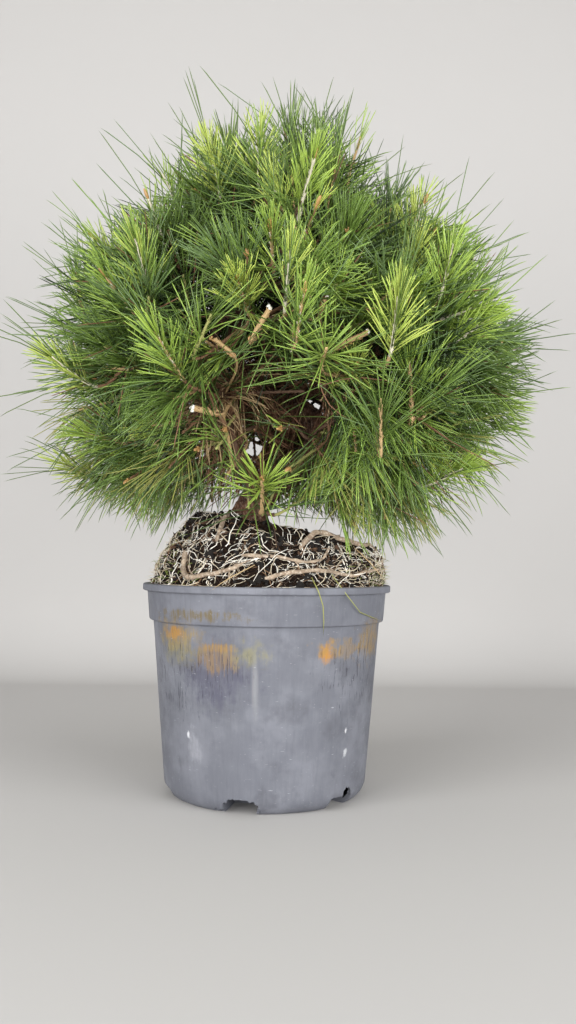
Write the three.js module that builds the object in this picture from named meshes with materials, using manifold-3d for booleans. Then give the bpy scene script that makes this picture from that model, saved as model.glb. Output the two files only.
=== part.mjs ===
// A young Aleppo pine trained for bonsai, in its weathered nursery pot: the pot, the root ball that
// stands proud of the rim with thick roots on its face, a trunk with one strong bend, boughs, and a
// dense crown of foliage masses. Millimetres, +Z up. The origin is the middle of the pot's flat
// underside, the front is towards -Y, and azimuths are measured from the front, positive to the right.
import * as THREE from "three";
import { mergeVertices } from "three/addons/utils/BufferGeometryUtils.js";
import Module from "manifold-3d";

const wasm = await Module();
wasm.setup();

// Driving dimensions
const GAP = 0.35; // left between pieces that touch
const POT = {
  height: 156,
  lipRadius: 95,
  lipHeight: 5.2,
  bandTopRadius: 91,
  bandBottomRadius: 89.3,
  bandBottom: 129,
  bodyTopRadius: 86.3,
  bodyBottomRadius: 75.8,
  footRadius: 70,
  footBevel: 6.5,
  wall: 1.9,
  floor: 3,
  sides: 30,
};
const DRAIN = {
  count: 6,
  firstAzimuth: -13.5,
  width: 23,
  height: 8.5,
  innerRadius: 42,
  roof: 1.8,
  holeRadius: 63, // the roof stops here, and water leaves beyond it
};
const MOUND = {
  topCentreX: 13, // the top has slumped to the right
  topRadius: 66,
  topHeight: 200, // above the pot's axis
  topSlope: -0.19, // height lost for each millimetre to the right
  shoulder: 4,
  lump: 2.2,
  sides: 18,
};
const TRUNK = {
  footRadius: 13.5,
  tipRadius: 3.6,
  taper: 0.85, // below 1 it thins sooner
  flare: 4.5,
  flareLobes: 3,
  lobeDepth: 0.6,
  flareHeight: 26,
  sides: 11,
  steps: 24,
};
const CROWN = {
  centre: new THREE.Vector3(13, 0, 325),
  halfWidth: 213,
  halfDepth: 208,
  rise: 238,
  fall: 180,
  shoulder: 1.6, // how long the upper half stays wide
  point: 0.83, // how sharply it then draws in to the top
  lowest: -42, // degrees below the centre, under which the crown is open
};
const SHOOT = {
  count: 92,
  length: 44,
  frontApart: 34, // the others keep this far from the tips of the front shoots
  apart: 17,
  lift: 0.15, // how much the shoots lean upwards
  liftSpread: 0.25,
  droop: 0.35, // how much less the low ones do
  drawIn: 0.15,
  tries: 6,
};
const SPRAY = {
  coreRadius: 6.6,
  sides: 6,
  rows: 5,
  needle: 62,
  shortest: 0.78,
  spread: 0.32,
  share: 0.78, // of the core's faces that rise into needles
  bareFoot: -0.62, // none rise below this height on a core that runs from -1 to 1
  ahead: 0.35, // how much a needle leans along the shoot at its foot
  aheadAtTip: 0.6, // and how much more at its tip
};
const BOUGH = {
  highest: 0.985, // share of the trunk's length
  lowRadius: 5.4,
  highRadius: 3.9,
  tipRadius: 2.9,
  arch: 0.1,
  sides: 5,
  steps: 4,
};
const HEART = { radius: 25, least: 8, lump: 0.28, forward: 8, sides: 7, rows: 5 }; // a mass's dense middle
const TWIG = { radius: 2.3, tipRadius: 1.5, sag: 0.06 };
const ROOM = { needle: 2.4, twig: 1.5, heart: 3, spray: 7.4, end: 0.6, limb: 0.5, mound: 6, pot: 5 };
const WINDOW = { centre: new THREE.Vector3(10, -150, 262), radius: 46 }; // the gap that shows the trunk
const GOLDEN_ANGLE = 137.508;
const SEEDS = { mound: 7, heart: 900, front: 3000, spread: 4000 };

const UP = new THREE.Vector3(0, 0, 1);
const COLOURS = {
  pot: [0x8b8e97, 0.72],
  soil: [0x2b221c, 0.98],
  root: [0xb89c7c, 0.85],
  bark: [0x5b4638, 0.92],
  needles: [0x5c8a2c, 0.55],
};

function finish([color, roughness]) {
  return new THREE.MeshStandardMaterial({ color, roughness, metalness: 0 });
}

// A repeatable stream of numbers from 0 to 1
function seeded(seed) {
  let state = seed >>> 0;
  return () => {
    state = (state + 0x6d2b79f5) >>> 0;
    let t = Math.imul(state ^ (state >>> 15), 1 | state);
    t = (t + Math.imul(t ^ (t >>> 7), 61 | t)) ^ t;
    return ((t ^ (t >>> 14)) >>> 0) / 4294967296;
  };
}

const radians = THREE.MathUtils.degToRad;
const lerp = THREE.MathUtils.lerp;
const point = (x, y, z) => new THREE.Vector3(x, y, z);

function polar(radius, azimuth, height) {
  const turn = radians(azimuth);
  return point(radius * Math.sin(turn), -radius * Math.cos(turn), height);
}

// Solids in and out of the boolean library
function merged(geometry) {
  const bare = geometry.index ? geometry.toNonIndexed() : geometry;
  const places = new THREE.BufferGeometry().setAttribute("position", bare.getAttribute("position"));
  return mergeVertices(places, 1e-3);
}

function solidOf(geometry) {
  const { attributes, index } = merged(geometry);
  const mesh = new wasm.Mesh({
    numProp: 3,
    vertProperties: attributes.position.array,
    triVerts: new Uint32Array(index.array),
  });
  return new wasm.Manifold(mesh);
}

function largestPiece(solid) {
  return solid.decompose().reduce((a, b) => (a.volume() > b.volume() ? a : b));
}

function meshOf(name, solid, colour) {
  const { vertProperties, triVerts } = largestPiece(solid).getMesh();
  const geometry = new THREE.BufferGeometry()
    .setAttribute("position", new THREE.BufferAttribute(vertProperties, 3))
    .setIndex(new THREE.BufferAttribute(triVerts, 1));
  geometry.computeVertexNormals();
  const mesh = new THREE.Mesh(geometry, finish(colour));
  mesh.name = name;
  return mesh;
}

// A turned solid from (radius, height) points that start and end on the axis
function turned(profile, sides) {
  const points = profile.map(([radius, height]) => new THREE.Vector2(radius, height));
  return new THREE.LatheGeometry(points, sides).rotateX(Math.PI / 2);
}

// A closed limb along a curve. radiusAt gives its radius at a share of the length and a turn round it
function limb(curve, radiusAt, sides, steps) {
  const geometry = new THREE.CylinderGeometry(1, 1, 1, sides, steps);
  const frames = curve.computeFrenetFrames(steps, false);
  const places = geometry.attributes.position;
  for (let i = 0; i < places.count; i++) {
    const step = Math.round((places.getY(i) + 0.5) * steps);
    const [across, along] = [places.getX(i), places.getZ(i)];
    const radius = radiusAt(step / steps, Math.atan2(along, across));
    const place = curve
      .getPointAt(step / steps)
      .addScaledVector(frames.binormals[step], across * radius)
      .addScaledVector(frames.normals[step], along * radius);
    places.setXYZ(i, place.x, place.y, place.z);
  }
  return solidOf(geometry);
}

const taper = (from, to) => (share) => lerp(from, to, share);

// The nursery pot: a tapered wall under a stepped band and a lip, standing on a flat floor that
// drain channels cross from the wall inwards
function potProfile(clearance = 0) {
  const { height, wall, floor, footBevel, bandBottom, sides } = POT;
  const facet = clearance ? Math.cos(Math.PI / sides) : 1; // keeps what fills the pot inside its flats
  const inner = (radius) => (radius - wall) * facet - clearance;
  return [
    [0, floor + clearance],
    [inner(POT.footRadius), floor + clearance],
    [inner(POT.bodyBottomRadius), footBevel + floor],
    [inner(POT.bodyTopRadius), bandBottom + wall],
    [inner(POT.bandBottomRadius), bandBottom + wall + (clearance ? 2 : 0)],
    [inner(POT.bandTopRadius), height],
  ];
}

function drainBox(width, height, from, azimuth, to = POT.lipRadius) {
  const box = new THREE.BoxGeometry(width, to - from, height + 1);
  box.translate(0, -(from + to) / 2, (height - 1) / 2).rotateZ(radians(azimuth));
  return solidOf(box);
}

const drainAzimuths = Array.from(
  { length: DRAIN.count },
  (_, i) => DRAIN.firstAzimuth + (360 / DRAIN.count) * i,
);

function potSolid() {
  const { height, lipHeight } = POT;
  const outside = [
    [0, 0],
    [POT.footRadius, 0],
    [POT.bodyBottomRadius, POT.footBevel],
    [POT.bodyTopRadius, POT.bandBottom],
    [POT.bandBottomRadius, POT.bandBottom],
    [POT.bandTopRadius, height - lipHeight],
    [POT.lipRadius, height - lipHeight],
    [POT.lipRadius, height],
  ];
  const wall = solidOf(turned([...outside, ...potProfile().reverse()], POT.sides));
  const inside = solidOf(turned([...outside, [0, height]], POT.sides));
  const { width, height: tall, innerRadius, roof, holeRadius } = DRAIN;
  const humps = drainAzimuths.map((azimuth) =>
    drainBox(width + 2 * roof, tall + roof, innerRadius - roof, azimuth, holeRadius).intersect(inside),
  );
  const channels = drainAzimuths.map((azimuth) => drainBox(width, tall, innerRadius, azimuth));
  return wall.add(wasm.Manifold.union(humps)).subtract(wasm.Manifold.union(channels));
}

// The root ball fills the pot and rises out of it as a slumped mound
const rimInside = POT.bandTopRadius - POT.wall - 1.2; // clear of the rim's flats

function moundTop(x) {
  return MOUND.topHeight + MOUND.topSlope * x;
}

// A point on the mound. Level 0 is at the rim, 1 at the top's edge and 2 at the foot of the trunk
function moundPoint(azimuth, level, proud = 0) {
  const foot = polar(rimInside + proud, azimuth, POT.height);
  const edge = polar(MOUND.topRadius + proud, azimuth, 0).add(point(MOUND.topCentreX, 0, 0));
  edge.z = moundTop(edge.x) + proud;
  if (level <= 1) {
    const bulge = Math.sin(Math.PI * level) * MOUND.shoulder;
    return foot.lerp(edge, level).add(polar(bulge, azimuth, bulge / 2));
  }
  const middle = trunkCurve.getPointAt(0);
  middle.z = moundTop(middle.x) + proud;
  return edge.lerp(middle, level - 1);
}

function rootBallSolid(cutters) {
  const below = potProfile(GAP);
  const levels = [0.2, 0.45, 0.72, 0.96, 1.4, 2];
  const rings = below.length + levels.length;
  const geometry = turned(
    Array.from({ length: rings }, (_, i) => [i && i < rings - 1 ? 1 : 0, i]),
    MOUND.sides,
  );
  const places = geometry.attributes.position;
  const lumps = seeded(SEEDS.mound);
  const lump = Array.from({ length: levels.length * MOUND.sides }, () => (lumps() - 0.5) * 2 * MOUND.lump);
  for (let i = 0; i < places.count; i++) {
    const ring = Math.round(places.getZ(i));
    const turn = Math.atan2(places.getX(i), -places.getY(i));
    const side = (Math.round((turn / (2 * Math.PI)) * MOUND.sides) + MOUND.sides) % MOUND.sides;
    if (ring < below.length) {
      places.setXYZ(i, ...polar(below[ring][0], (side * 360) / MOUND.sides, below[ring][1]).toArray());
      continue;
    }
    const row = ring - below.length;
    const proud = levels[row] < 2 ? lump[row * MOUND.sides + side] : 0;
    places.setXYZ(i, ...moundPoint((side * 360) / MOUND.sides, levels[row], proud).toArray());
  }
  const { width, height, innerRadius, roof, holeRadius } = DRAIN;
  const extra = roof + GAP;
  const humps = drainAzimuths.map((azimuth) =>
    drainBox(width + 2 * extra, height + extra, innerRadius - extra, azimuth, holeRadius + GAP),
  );
  return solidOf(geometry).subtract(wasm.Manifold.union([...humps, ...cutters]));
}

// Thick roots that lie in the mound's face, each as [azimuth, level] stations
const ROOTS = {
  root_lower_left: {
    radius: 3.1,
    stations: [[-50, 0.42], [-43, 0.14], [-33, 0.12], [-20, 0.22], [-14, 0.3]],
  },
  root_long_front: {
    radius: 2.0,
    stations: [[-16, 0.42], [0, 0.44], [14, 0.4], [23, 0.46], [26, 0.72]],
  },
  root_low_front: {
    radius: 2.3,
    stations: [[-2, 0.13], [10, 0.22], [24, 0.27], [40, 0.2], [54, 0.3], [68, 0.36]],
  },
  root_top_right: {
    radius: 2.9,
    stations: [[10, 0.62], [16, 0.92], [24, 1.05], [38, 0.93], [54, 0.92], [74, 0.96], [82, 0.62], [84, 0.3]],
  },
  root_upper_left: { radius: 2.2, stations: [[-34, 1.25], [-38, 0.98], [-36, 0.78], [-33, 0.58]] },
  root_back: {
    radius: 2.7,
    stations: [[128, 0.3], [146, 0.5], [164, 0.42], [182, 0.62], [196, 0.92], [204, 1.3]],
  },
  root_left: { radius: 2.4, stations: [[-84, 0.18], [-98, 0.36], [-112, 0.55], [-122, 0.9], [-124, 1.25]] },
};

function rootSolid({ radius, stations }, grow) {
  const curve = new THREE.CatmullRomCurve3(
    stations.map(([azimuth, level]) => moundPoint(azimuth, level, 0.25 * radius)),
  );
  const steps = Math.round(curve.getLength() / (4 * radius));
  return limb(curve, (share) => radius * (1 - 0.35 * share) + grow, 5, steps);
}

// The trunk leans out to the right, doubles back to the left and then climbs to the top of the crown
const trunkCurve = new THREE.CatmullRomCurve3([
  point(-15, -4, 199),
  point(-14, -4, 208),
  point(-9, -5, 219),
  point(4, -8, 233),
  point(26, -9, 249),
  point(40, -6, 269),
  point(29, 0, 288),
  point(2, 5, 302),
  point(-22, 6, 320),
  point(-30, 2, 345),
  point(-20, -3, 373),
  point(-2, -2, 400),
  point(5, 2, 422),
  point(2, 3, 438),
]);

function trunkRadius(share, turn = 0) {
  const plain = lerp(TRUNK.footRadius, TRUNK.tipRadius, share ** TRUNK.taper);
  const height = share * trunkCurve.getLength();
  const flare = TRUNK.flare * Math.max(0, 1 - height / TRUNK.flareHeight) ** 2;
  return plain + flare * (1 + TRUNK.lobeDepth * Math.cos(TRUNK.flareLobes * turn));
}

const trunkSolid = (grow = 0) =>
  limb(trunkCurve, (share, turn) => trunkRadius(share, turn) + grow, TRUNK.sides, TRUNK.steps);

// How far the crown reaches from its centre along a direction
function reach(direction) {
  const spread = Math.hypot(direction.x / CROWN.halfWidth, direction.y / CROWN.halfDepth);
  const climb = direction.z / (direction.z > 0 ? CROWN.rise : CROWN.fall);
  let [near, far] = [0, CROWN.rise + CROWN.fall];
  while (far - near > 0.001) {
    const middle = (near + far) / 2;
    const up = Math.min(1, Math.abs(climb) * middle);
    const width = direction.z > 0 ? (1 - up ** CROWN.shoulder) ** CROWN.point : Math.sqrt(1 - up * up);
    if (spread * middle < width) near = middle;
    else far = middle;
  }
  return near;
}

function heading(azimuth, elevation) {
  return polar(Math.cos(radians(elevation)), azimuth, Math.sin(radians(elevation)));
}

const out = (direction, distance) => CROWN.centre.clone().addScaledVector(direction, distance);

// Tiers of foliage masses. Each mass has a seat in the crown, and its space is what lies nearest to it
const TIERS = [
  { name: "lower", count: 6, azimuth: -150, elevation: -20, from: 0.47, to: 0.57 },
  { name: "middle", count: 7, azimuth: -154.3, elevation: 9, from: 0.56, to: 0.74 },
  { name: "upper", count: 5, azimuth: -140, elevation: 41, from: 0.74, to: 0.95 },
  { name: "top", count: 1, azimuth: 0, elevation: 88, from: 1, to: 1 },
];
const SEAT = { stem: 0.36, hub: 0.5, middle: 0.62 }; // shares of the crown's reach

const masses = TIERS.flatMap(({ name, count, azimuth, elevation, from, to }) =>
  Array.from({ length: count }, (_, i) => {
    const stagger = (i % 2 ? 5 : -3) * Math.sign(count - 1);
    const direction = heading(azimuth + (360 / count) * i, elevation + stagger);
    const far = reach(direction);
    const order = ((i * 3) % count) / Math.max(1, count - 1); // neighbours leave the trunk apart
    return {
      name: count > 1 ? `${name}_${i + 1}` : name,
      direction,
      leaves: lerp(from, to, order),
      stemFoot: out(direction, far * SEAT.stem),
      hub: out(direction, far * SEAT.hub),
      middle: out(direction, far * SEAT.middle),
      shoots: [],
    };
  }),
);
const top = masses.at(-1);
top.stemFoot = trunkCurve.getPointAt(1).addScaledVector(trunkCurve.getTangentAt(1), GAP);
top.hub = top.stemFoot.clone().addScaledVector(UP, 26);
top.middle = top.hub;

// How far a place lies inside a mass's own space
function depthInside(mass, place) {
  const own = place.distanceToSquared(mass.middle);
  const depths = masses
    .filter((other) => other !== mass)
    .map(({ middle }) => (place.distanceToSquared(middle) - own) / (2 * mass.middle.distanceTo(middle)));
  return Math.min(...depths);
}

// Boughs leave the trunk and end at the stems of their masses
const boughs = masses.slice(0, -1).map((mass) => {
  const foot = trunkCurve.getPointAt(mass.leaves * BOUGH.highest);
  const lead = mass.stemFoot.clone().sub(foot);
  const bend = foot.clone().addScaledVector(lead, 0.45).addScaledVector(UP, BOUGH.arch * lead.length());
  const end = mass.stemFoot.clone().addScaledVector(mass.direction, -GAP);
  return {
    name: `bough_${mass.name}`,
    curve: new THREE.CatmullRomCurve3([foot, bend, end]),
    radius: lerp(BOUGH.lowRadius, BOUGH.highRadius, mass.leaves),
  };
});

const boughSolid = ({ curve, radius }, grow = 0) =>
  limb(curve, taper(radius + grow, BOUGH.tipRadius + grow), BOUGH.sides, BOUGH.steps);

// Every limb as short links, each a line and a radius, to keep twigs and needles off them
function links(curve, radiusAt, count) {
  return Array.from({ length: count }, (_, i) => [
    new THREE.Line3(curve.getPointAt(i / count), curve.getPointAt((i + 1) / count)),
    radiusAt(i / count),
  ]);
}

const limbLinks = [
  ...links(trunkCurve, trunkRadius, 24),
  ...boughs.flatMap(({ curve, radius }) => links(curve, taper(radius, BOUGH.tipRadius), 6)),
];

function offLine(line, place) {
  return line.closestPointToPoint(place, true, point(0, 0, 0)).distanceTo(place);
}

function clearOfLimbs(from, to, room) {
  return [0, 0.2, 0.4, 0.6, 0.8, 1].every((share) => {
    const place = from.clone().lerp(to, share);
    return limbLinks.every(([line, radius]) => offLine(line, place) > radius + room);
  });
}

// The pot and the mound stay free of foliage
function clearOfPot(place) {
  const high = place.z > moundTop(place.x) + ROOM.mound;
  const wide = Math.hypot(place.x, place.y) > POT.lipRadius + ROOM.pot;
  return high || wide;
}

function keeps(mass, from, to, room) {
  return (
    depthInside(mass, from) > room &&
    depthInside(mass, to) > ROOM.end &&
    clearOfPot(from) &&
    clearOfPot(to) &&
    clearOfLimbs(from, to, room + ROOM.limb)
  );
}

// A shoot's tip lies this far inside the crown's outline, which its needles then reach
const inset = SPRAY.needle * 0.74;

// The shoots that stand out at the front, as where the tip is across and up, its lean to the right
// from upright and its turn towards the viewer, both in degrees
const FRONT_SHOOTS = [
  [-150, 388, -14, 10],
  [-83, 398, -8, 30],
  [-20, 400, -20, 25],
  [22, 420, 15, 25],
  [100, 408, 4, 20],
  [150, 398, 28, 5],
  [-88, 340, -28, 35],
  [44, 340, 0, 80],
  [112, 332, 80, 40],
  [87, 300, -5, 30],
  [-112, 300, -62, 40],
  [-110, 250, -75, 30],
  [-2, 232, 12, 55],
  [131, 264, 60, 75],
];

function frontShoot([x, z, lean, forward], index) {
  const draw = seeded(SEEDS.front + index);
  const place = point(x, -CROWN.halfDepth, z);
  const outside = () => {
    const ray = place.clone().sub(CROWN.centre);
    return ray.length() > reach(ray.clone().normalize()) - inset;
  };
  while (place.y < 0 && outside()) place.y += 2;
  const [tilt, turn] = [radians(lean), radians(forward)];
  const axis = point(Math.sin(tilt) * Math.cos(turn), -Math.sin(turn), Math.cos(tilt) * Math.cos(turn));
  return { axis, tip: place, length: SHOOT.length, draw };
}

// The others are spread evenly over the crown and lean upwards as they grow
function spreadShoot(index) {
  const draw = seeded(SEEDS.spread + index);
  const elevation = THREE.MathUtils.radToDeg(Math.asin(1 - (2 * (index + 0.5)) / SHOOT.count));
  const direction = heading(index * GOLDEN_ANGLE, elevation);
  const lift = SHOOT.lift + SHOOT.liftSpread * draw() - (elevation < -10 ? SHOOT.droop : 0);
  const axis = direction.clone().addScaledVector(UP, lift).normalize();
  const tip = out(direction, reach(direction) - inset - 5 * draw());
  return { axis, tip, length: SHOOT.length * (0.85 + 0.3 * draw()), draw };
}

const frontShoots = FRONT_SHOOTS.map(frontShoot);
const lowestTip = CROWN.centre.z + CROWN.fall * Math.sin(radians(CROWN.lowest));
const spreadShoots = Array.from({ length: SHOOT.count }, (_, i) => spreadShoot(i)).filter(
  ({ tip }) =>
    tip.z > lowestTip &&
    tip.distanceTo(WINDOW.centre) > WINDOW.radius &&
    frontShoots.every((shoot) => shoot.tip.distanceTo(tip) > SHOOT.frontApart),
);

// Each shoot grows in the mass that its tip is nearest to. One near the edge of that mass's space
// is drawn in until its core fits
for (const shoot of [...frontShoots, ...spreadShoots]) {
  const away = (mass) => mass.middle.distanceTo(shoot.tip);
  const mass = masses.reduce((a, b) => (away(b) < away(a) ? b : a));
  for (let tries = 0; tries < SHOOT.tries; tries++) {
    const foot = shoot.tip.clone().addScaledVector(shoot.axis, -shoot.length);
    const apart = mass.shoots.every(({ core }) => offLine(core, shoot.tip) > SHOOT.apart);
    if (apart && keeps(mass, foot, shoot.tip, ROOM.spray) && keeps(mass, mass.hub, foot, ROOM.twig)) {
      mass.shoots.push({ ...shoot, core: new THREE.Line3(foot, shoot.tip) });
      break;
    }
    const ahead = shoot.tip.clone().sub(mass.hub).dot(mass.direction);
    shoot.tip.lerp(mass.hub.clone().addScaledVector(mass.direction, ahead), SHOOT.drawIn);
    shoot.axis.lerp(mass.direction, SHOOT.drawIn).normalize();
  }
}

// A shoot's spray: a slim core whose faces rise into needles. A needle that would reach another
// shoot's side of the mass is cut shorter, or left out
function spray(mass, shoot) {
  const { core, axis, length, draw } = shoot;
  const half = length * 0.55;
  const middle = core.end.clone().addScaledVector(axis, -half * 0.75);
  const body = new THREE.SphereGeometry(1, SPRAY.sides, SPRAY.rows).rotateX(Math.PI / 2).toNonIndexed();
  body.scale(SPRAY.coreRadius, SPRAY.coreRadius, half);
  body.applyQuaternion(new THREE.Quaternion().setFromUnitVectors(UP, axis));
  body.translate(middle.x, middle.y, middle.z);
  const ownSide = (place) =>
    mass.shoots.every((other) => other === shoot || offLine(other.core, place) > offLine(core, place));
  const places = body.attributes.position;
  const faces = [];
  for (let i = 0; i < places.count; i += 3) {
    const corners = [0, 1, 2].map((k) => new THREE.Vector3().fromBufferAttribute(places, i + k));
    const face = new THREE.Triangle(...corners);
    if (face.getArea() < 0.05) continue;
    const [chance, size] = [draw(), SPRAY.shortest + SPRAY.spread * draw()];
    const centre = face.getMidpoint(new THREE.Vector3());
    const forward = centre.clone().sub(middle).dot(axis) / half; // -1 at the core's foot, 1 at its tip
    const ahead = SPRAY.ahead + SPRAY.aheadAtTip * Math.max(0, forward);
    const normal = face.getNormal(new THREE.Vector3());
    const side = normal.addScaledVector(axis, -normal.dot(axis)).normalize();
    const bearing = side.multiplyScalar(1.3 - ahead).addScaledVector(axis, ahead).normalize();
    const end = [1, 0.75, 0.5]
      .map((part) => centre.clone().addScaledVector(bearing, SPRAY.needle * size * part))
      .find((place) => ownSide(place) && keeps(mass, centre, place, ROOM.needle));
    if (end && chance < SPRAY.share && forward > SPRAY.bareFoot)
      for (const k of [0, 1, 2]) faces.push(corners[k], corners[(k + 1) % 3], end);
    else faces.push(...corners);
  }
  return solidOf(new THREE.BufferGeometry().setFromPoints(faces));
}

// The dense middle of a mass, lumpy and inside its space, that the shoots stand out of
function heart(mass) {
  const draw = seeded(SEEDS.heart + masses.indexOf(mass));
  const middle = mass.hub.clone().addScaledVector(mass.direction, HEART.forward);
  const ball = merged(new THREE.SphereGeometry(1, HEART.sides, HEART.rows));
  const places = ball.attributes.position;
  for (let i = 0; i < places.count; i++) {
    const ray = new THREE.Vector3().fromBufferAttribute(places, i);
    let size = HEART.radius * (1 + HEART.lump * (2 * draw() - 1));
    const spot = () => middle.clone().addScaledVector(ray, size);
    while (size > HEART.least && !keeps(mass, spot(), spot(), ROOM.heart)) size -= 2;
    places.setXYZ(i, ...spot().toArray());
  }
  return solidOf(ball);
}

// The stem, and the twigs that branch from its end into the shoots
function massSolid(mass) {
  const beyond = mass.hub.clone().sub(mass.stemFoot).normalize();
  const stem = new THREE.LineCurve3(mass.stemFoot, mass.hub.clone().addScaledVector(beyond, 3));
  const pieces = [heart(mass), limb(stem, taper(BOUGH.tipRadius, TWIG.radius), 6, 1)];
  for (const shoot of mass.shoots) {
    const end = shoot.core.at(0.35, point(0, 0, 0));
    const sag = mass.hub.clone().lerp(end, 0.5).addScaledVector(UP, -TWIG.sag * mass.hub.distanceTo(end));
    const curve = new THREE.CatmullRomCurve3([mass.hub, sag, end]);
    pieces.push(limb(curve, taper(TWIG.radius, TWIG.tipRadius), 3, 2), spray(mass, shoot));
  }
  return wasm.Manifold.union(pieces);
}

// Assembly
const pine = new THREE.Group();
const roots = Object.entries(ROOTS);
const trunk = trunkSolid();
const trunkRoom = trunkSolid(GAP);
const sockets = roots.map(([, root]) => rootSolid(root, GAP));
pine.add(meshOf("pot", potSolid(), COLOURS.pot));
pine.add(meshOf("root_ball", rootBallSolid([trunkRoom, ...sockets]), COLOURS.soil));
let taken = trunkRoom;
for (const [name, root] of roots) {
  pine.add(meshOf(name, rootSolid(root, 0).subtract(taken), COLOURS.root));
  taken = taken.add(rootSolid(root, GAP));
}
pine.add(meshOf("trunk", trunk, COLOURS.bark));
let limbs = trunkRoom;
for (const bough of boughs) {
  pine.add(meshOf(bough.name, boughSolid(bough).subtract(limbs), COLOURS.bark));
  limbs = limbs.add(boughSolid(bough, GAP));
}
for (const mass of masses) {
  pine.add(meshOf(`needles_${mass.name}`, massSolid(mass).subtract(limbs), COLOURS.needles));
}

export default pine;
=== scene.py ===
"""A potted young Aleppo pine: the looks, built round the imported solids."""
import logging
import math
from collections.abc import Iterable, Sequence
from dataclasses import dataclass, field
from enum import Enum, auto

import bmesh
import bpy
import numpy as np
from bpy.types import Material, Mesh, Node, NodeSocket, NodeTree, Object
from mathutils import Matrix, Vector, noise
from mathutils.kdtree import KDTree


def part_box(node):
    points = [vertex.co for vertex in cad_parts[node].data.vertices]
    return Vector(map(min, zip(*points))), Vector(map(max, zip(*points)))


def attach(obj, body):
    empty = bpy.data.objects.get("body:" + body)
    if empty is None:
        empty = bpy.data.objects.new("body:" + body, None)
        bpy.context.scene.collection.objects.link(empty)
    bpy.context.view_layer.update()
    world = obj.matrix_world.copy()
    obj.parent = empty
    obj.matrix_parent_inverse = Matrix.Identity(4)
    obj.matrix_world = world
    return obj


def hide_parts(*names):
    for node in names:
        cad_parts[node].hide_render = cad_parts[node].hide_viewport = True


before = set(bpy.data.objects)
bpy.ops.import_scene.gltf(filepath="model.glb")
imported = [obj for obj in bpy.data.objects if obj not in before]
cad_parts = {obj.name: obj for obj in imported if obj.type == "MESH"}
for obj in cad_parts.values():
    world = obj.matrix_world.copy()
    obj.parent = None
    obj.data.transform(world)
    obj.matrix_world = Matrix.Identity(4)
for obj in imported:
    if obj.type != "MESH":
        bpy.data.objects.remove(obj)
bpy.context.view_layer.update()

MM = 0.001  # sizes are in millimetres, and each mesh is brought to metres as it is finished
BODY = "root"
GAP = 0.35  # between a bough's end and the first twig of its mass
GOLDEN_ANGLE = 137.508
UP = np.array([0.0, 0.0, 1.0])
MASK = 0xFFFFFFFF
log = logging.getLogger("potted_pine")


def linear(colour: str) -> tuple[float, ...]:
    """Turns a colour into linear light.

    Args:
        colour: An sRGB hex value, such as "#8b8e97".

    Returns:
        Red, green, blue and an alpha of 1.
    """
    parts = [int(colour[i : i + 2], 16) / 255 for i in (1, 3, 5)]
    return (*(p / 12.92 if p <= 0.04045 else ((p + 0.055) / 1.055) ** 2.4 for p in parts), 1.0)


def wire(tree: NodeTree, node: Node, inputs: dict[str | int, object]) -> None:
    """Sets a node's inputs.

    Args:
        tree: The tree that the node is in.
        node: The node.
        inputs: A value or another node's output for each input, by name or number.
    """
    for key, value in inputs.items():
        if isinstance(value, NodeSocket):
            tree.links.new(value, node.inputs[key])
        else:
            node.inputs[key].default_value = value


def add_node(
    tree: NodeTree,
    kind: str,
    inputs: dict[str | int, object] | None = None,
    output: str | int = 0,
    **settings: object,
) -> NodeSocket:
    """Adds a node with its settings and links.

    Args:
        tree: The tree to add it to.
        kind: The node's type, without the "ShaderNode" that they all start with.
        inputs: A value or another node's output for each input, by name or number.
        output: The output that is wanted, by name or number.
        settings: The node's own options.

    Returns:
        The wanted output.
    """
    node = tree.nodes.new("ShaderNode" + kind)
    for option, value in settings.items():
        setattr(node, option, value)
    wire(tree, node, inputs or {})
    return node.outputs[output]


def lerp(start: np.ndarray | float, end: np.ndarray | float, share: np.ndarray | float) -> np.ndarray | float:
    """Returns what lies at a share of the way from start to end."""
    return start + (end - start) * share


def unit(vectors: np.ndarray) -> np.ndarray:
    """Returns the vectors at a length of 1."""
    return vectors / np.maximum(np.linalg.norm(vectors, axis=-1, keepdims=True), 1e-9)


def polar(radius: np.ndarray | float, azimuth: np.ndarray | float, height: np.ndarray | float) -> np.ndarray:
    """Finds points by their azimuth from the front, in degrees, positive to the right.

    Args:
        radius: Distance from the pot's axis.
        azimuth: Azimuth in degrees.
        height: Height.

    Returns:
        The points, one row each.
    """
    turn = np.radians(azimuth)
    radius, turn, height = np.broadcast_arrays(radius, turn, height)
    return np.stack([radius * np.sin(turn), -radius * np.cos(turn), height], axis=-1)


def heading(azimuth: float, elevation: float) -> np.ndarray:
    """Returns the direction at an azimuth and an elevation, both in degrees."""
    return polar(math.cos(math.radians(elevation)), azimuth, math.sin(math.radians(elevation)))


def square_to(direction: np.ndarray) -> tuple[np.ndarray, np.ndarray]:
    """Finds two directions that are square to another and to each other.

    Args:
        direction: Unit vectors, one row each.

    Returns:
        The two directions for each row.
    """
    steep = np.abs(direction[..., 2:]) > 0.9
    helper = np.where(steep, np.array([1.0, 0.0, 0.0]), UP)
    across = unit(np.cross(direction, helper))
    return across, np.cross(direction, across)


def spoke(axis: np.ndarray, turn: np.ndarray | float) -> np.ndarray:
    """Returns the directions square to axes at turns round them, in radians."""
    across, over = square_to(axis)
    return across * np.cos(turn) + over * np.sin(turn)


def leaning(lean: float, forward: float) -> np.ndarray:
    """Returns the way up, leant to the right and turned to the viewer, both in degrees."""
    tilt, turn = math.radians(lean), math.radians(forward)
    return np.array([math.sin(tilt) * math.cos(turn), -math.sin(turn), math.cos(tilt) * math.cos(turn)])


def ring_shares(rings: int) -> np.ndarray:
    """Returns the shares of a twig's length at its rings and at its blunt tip."""
    return np.append(np.linspace(0, 0.985, rings), 1.0)


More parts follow.
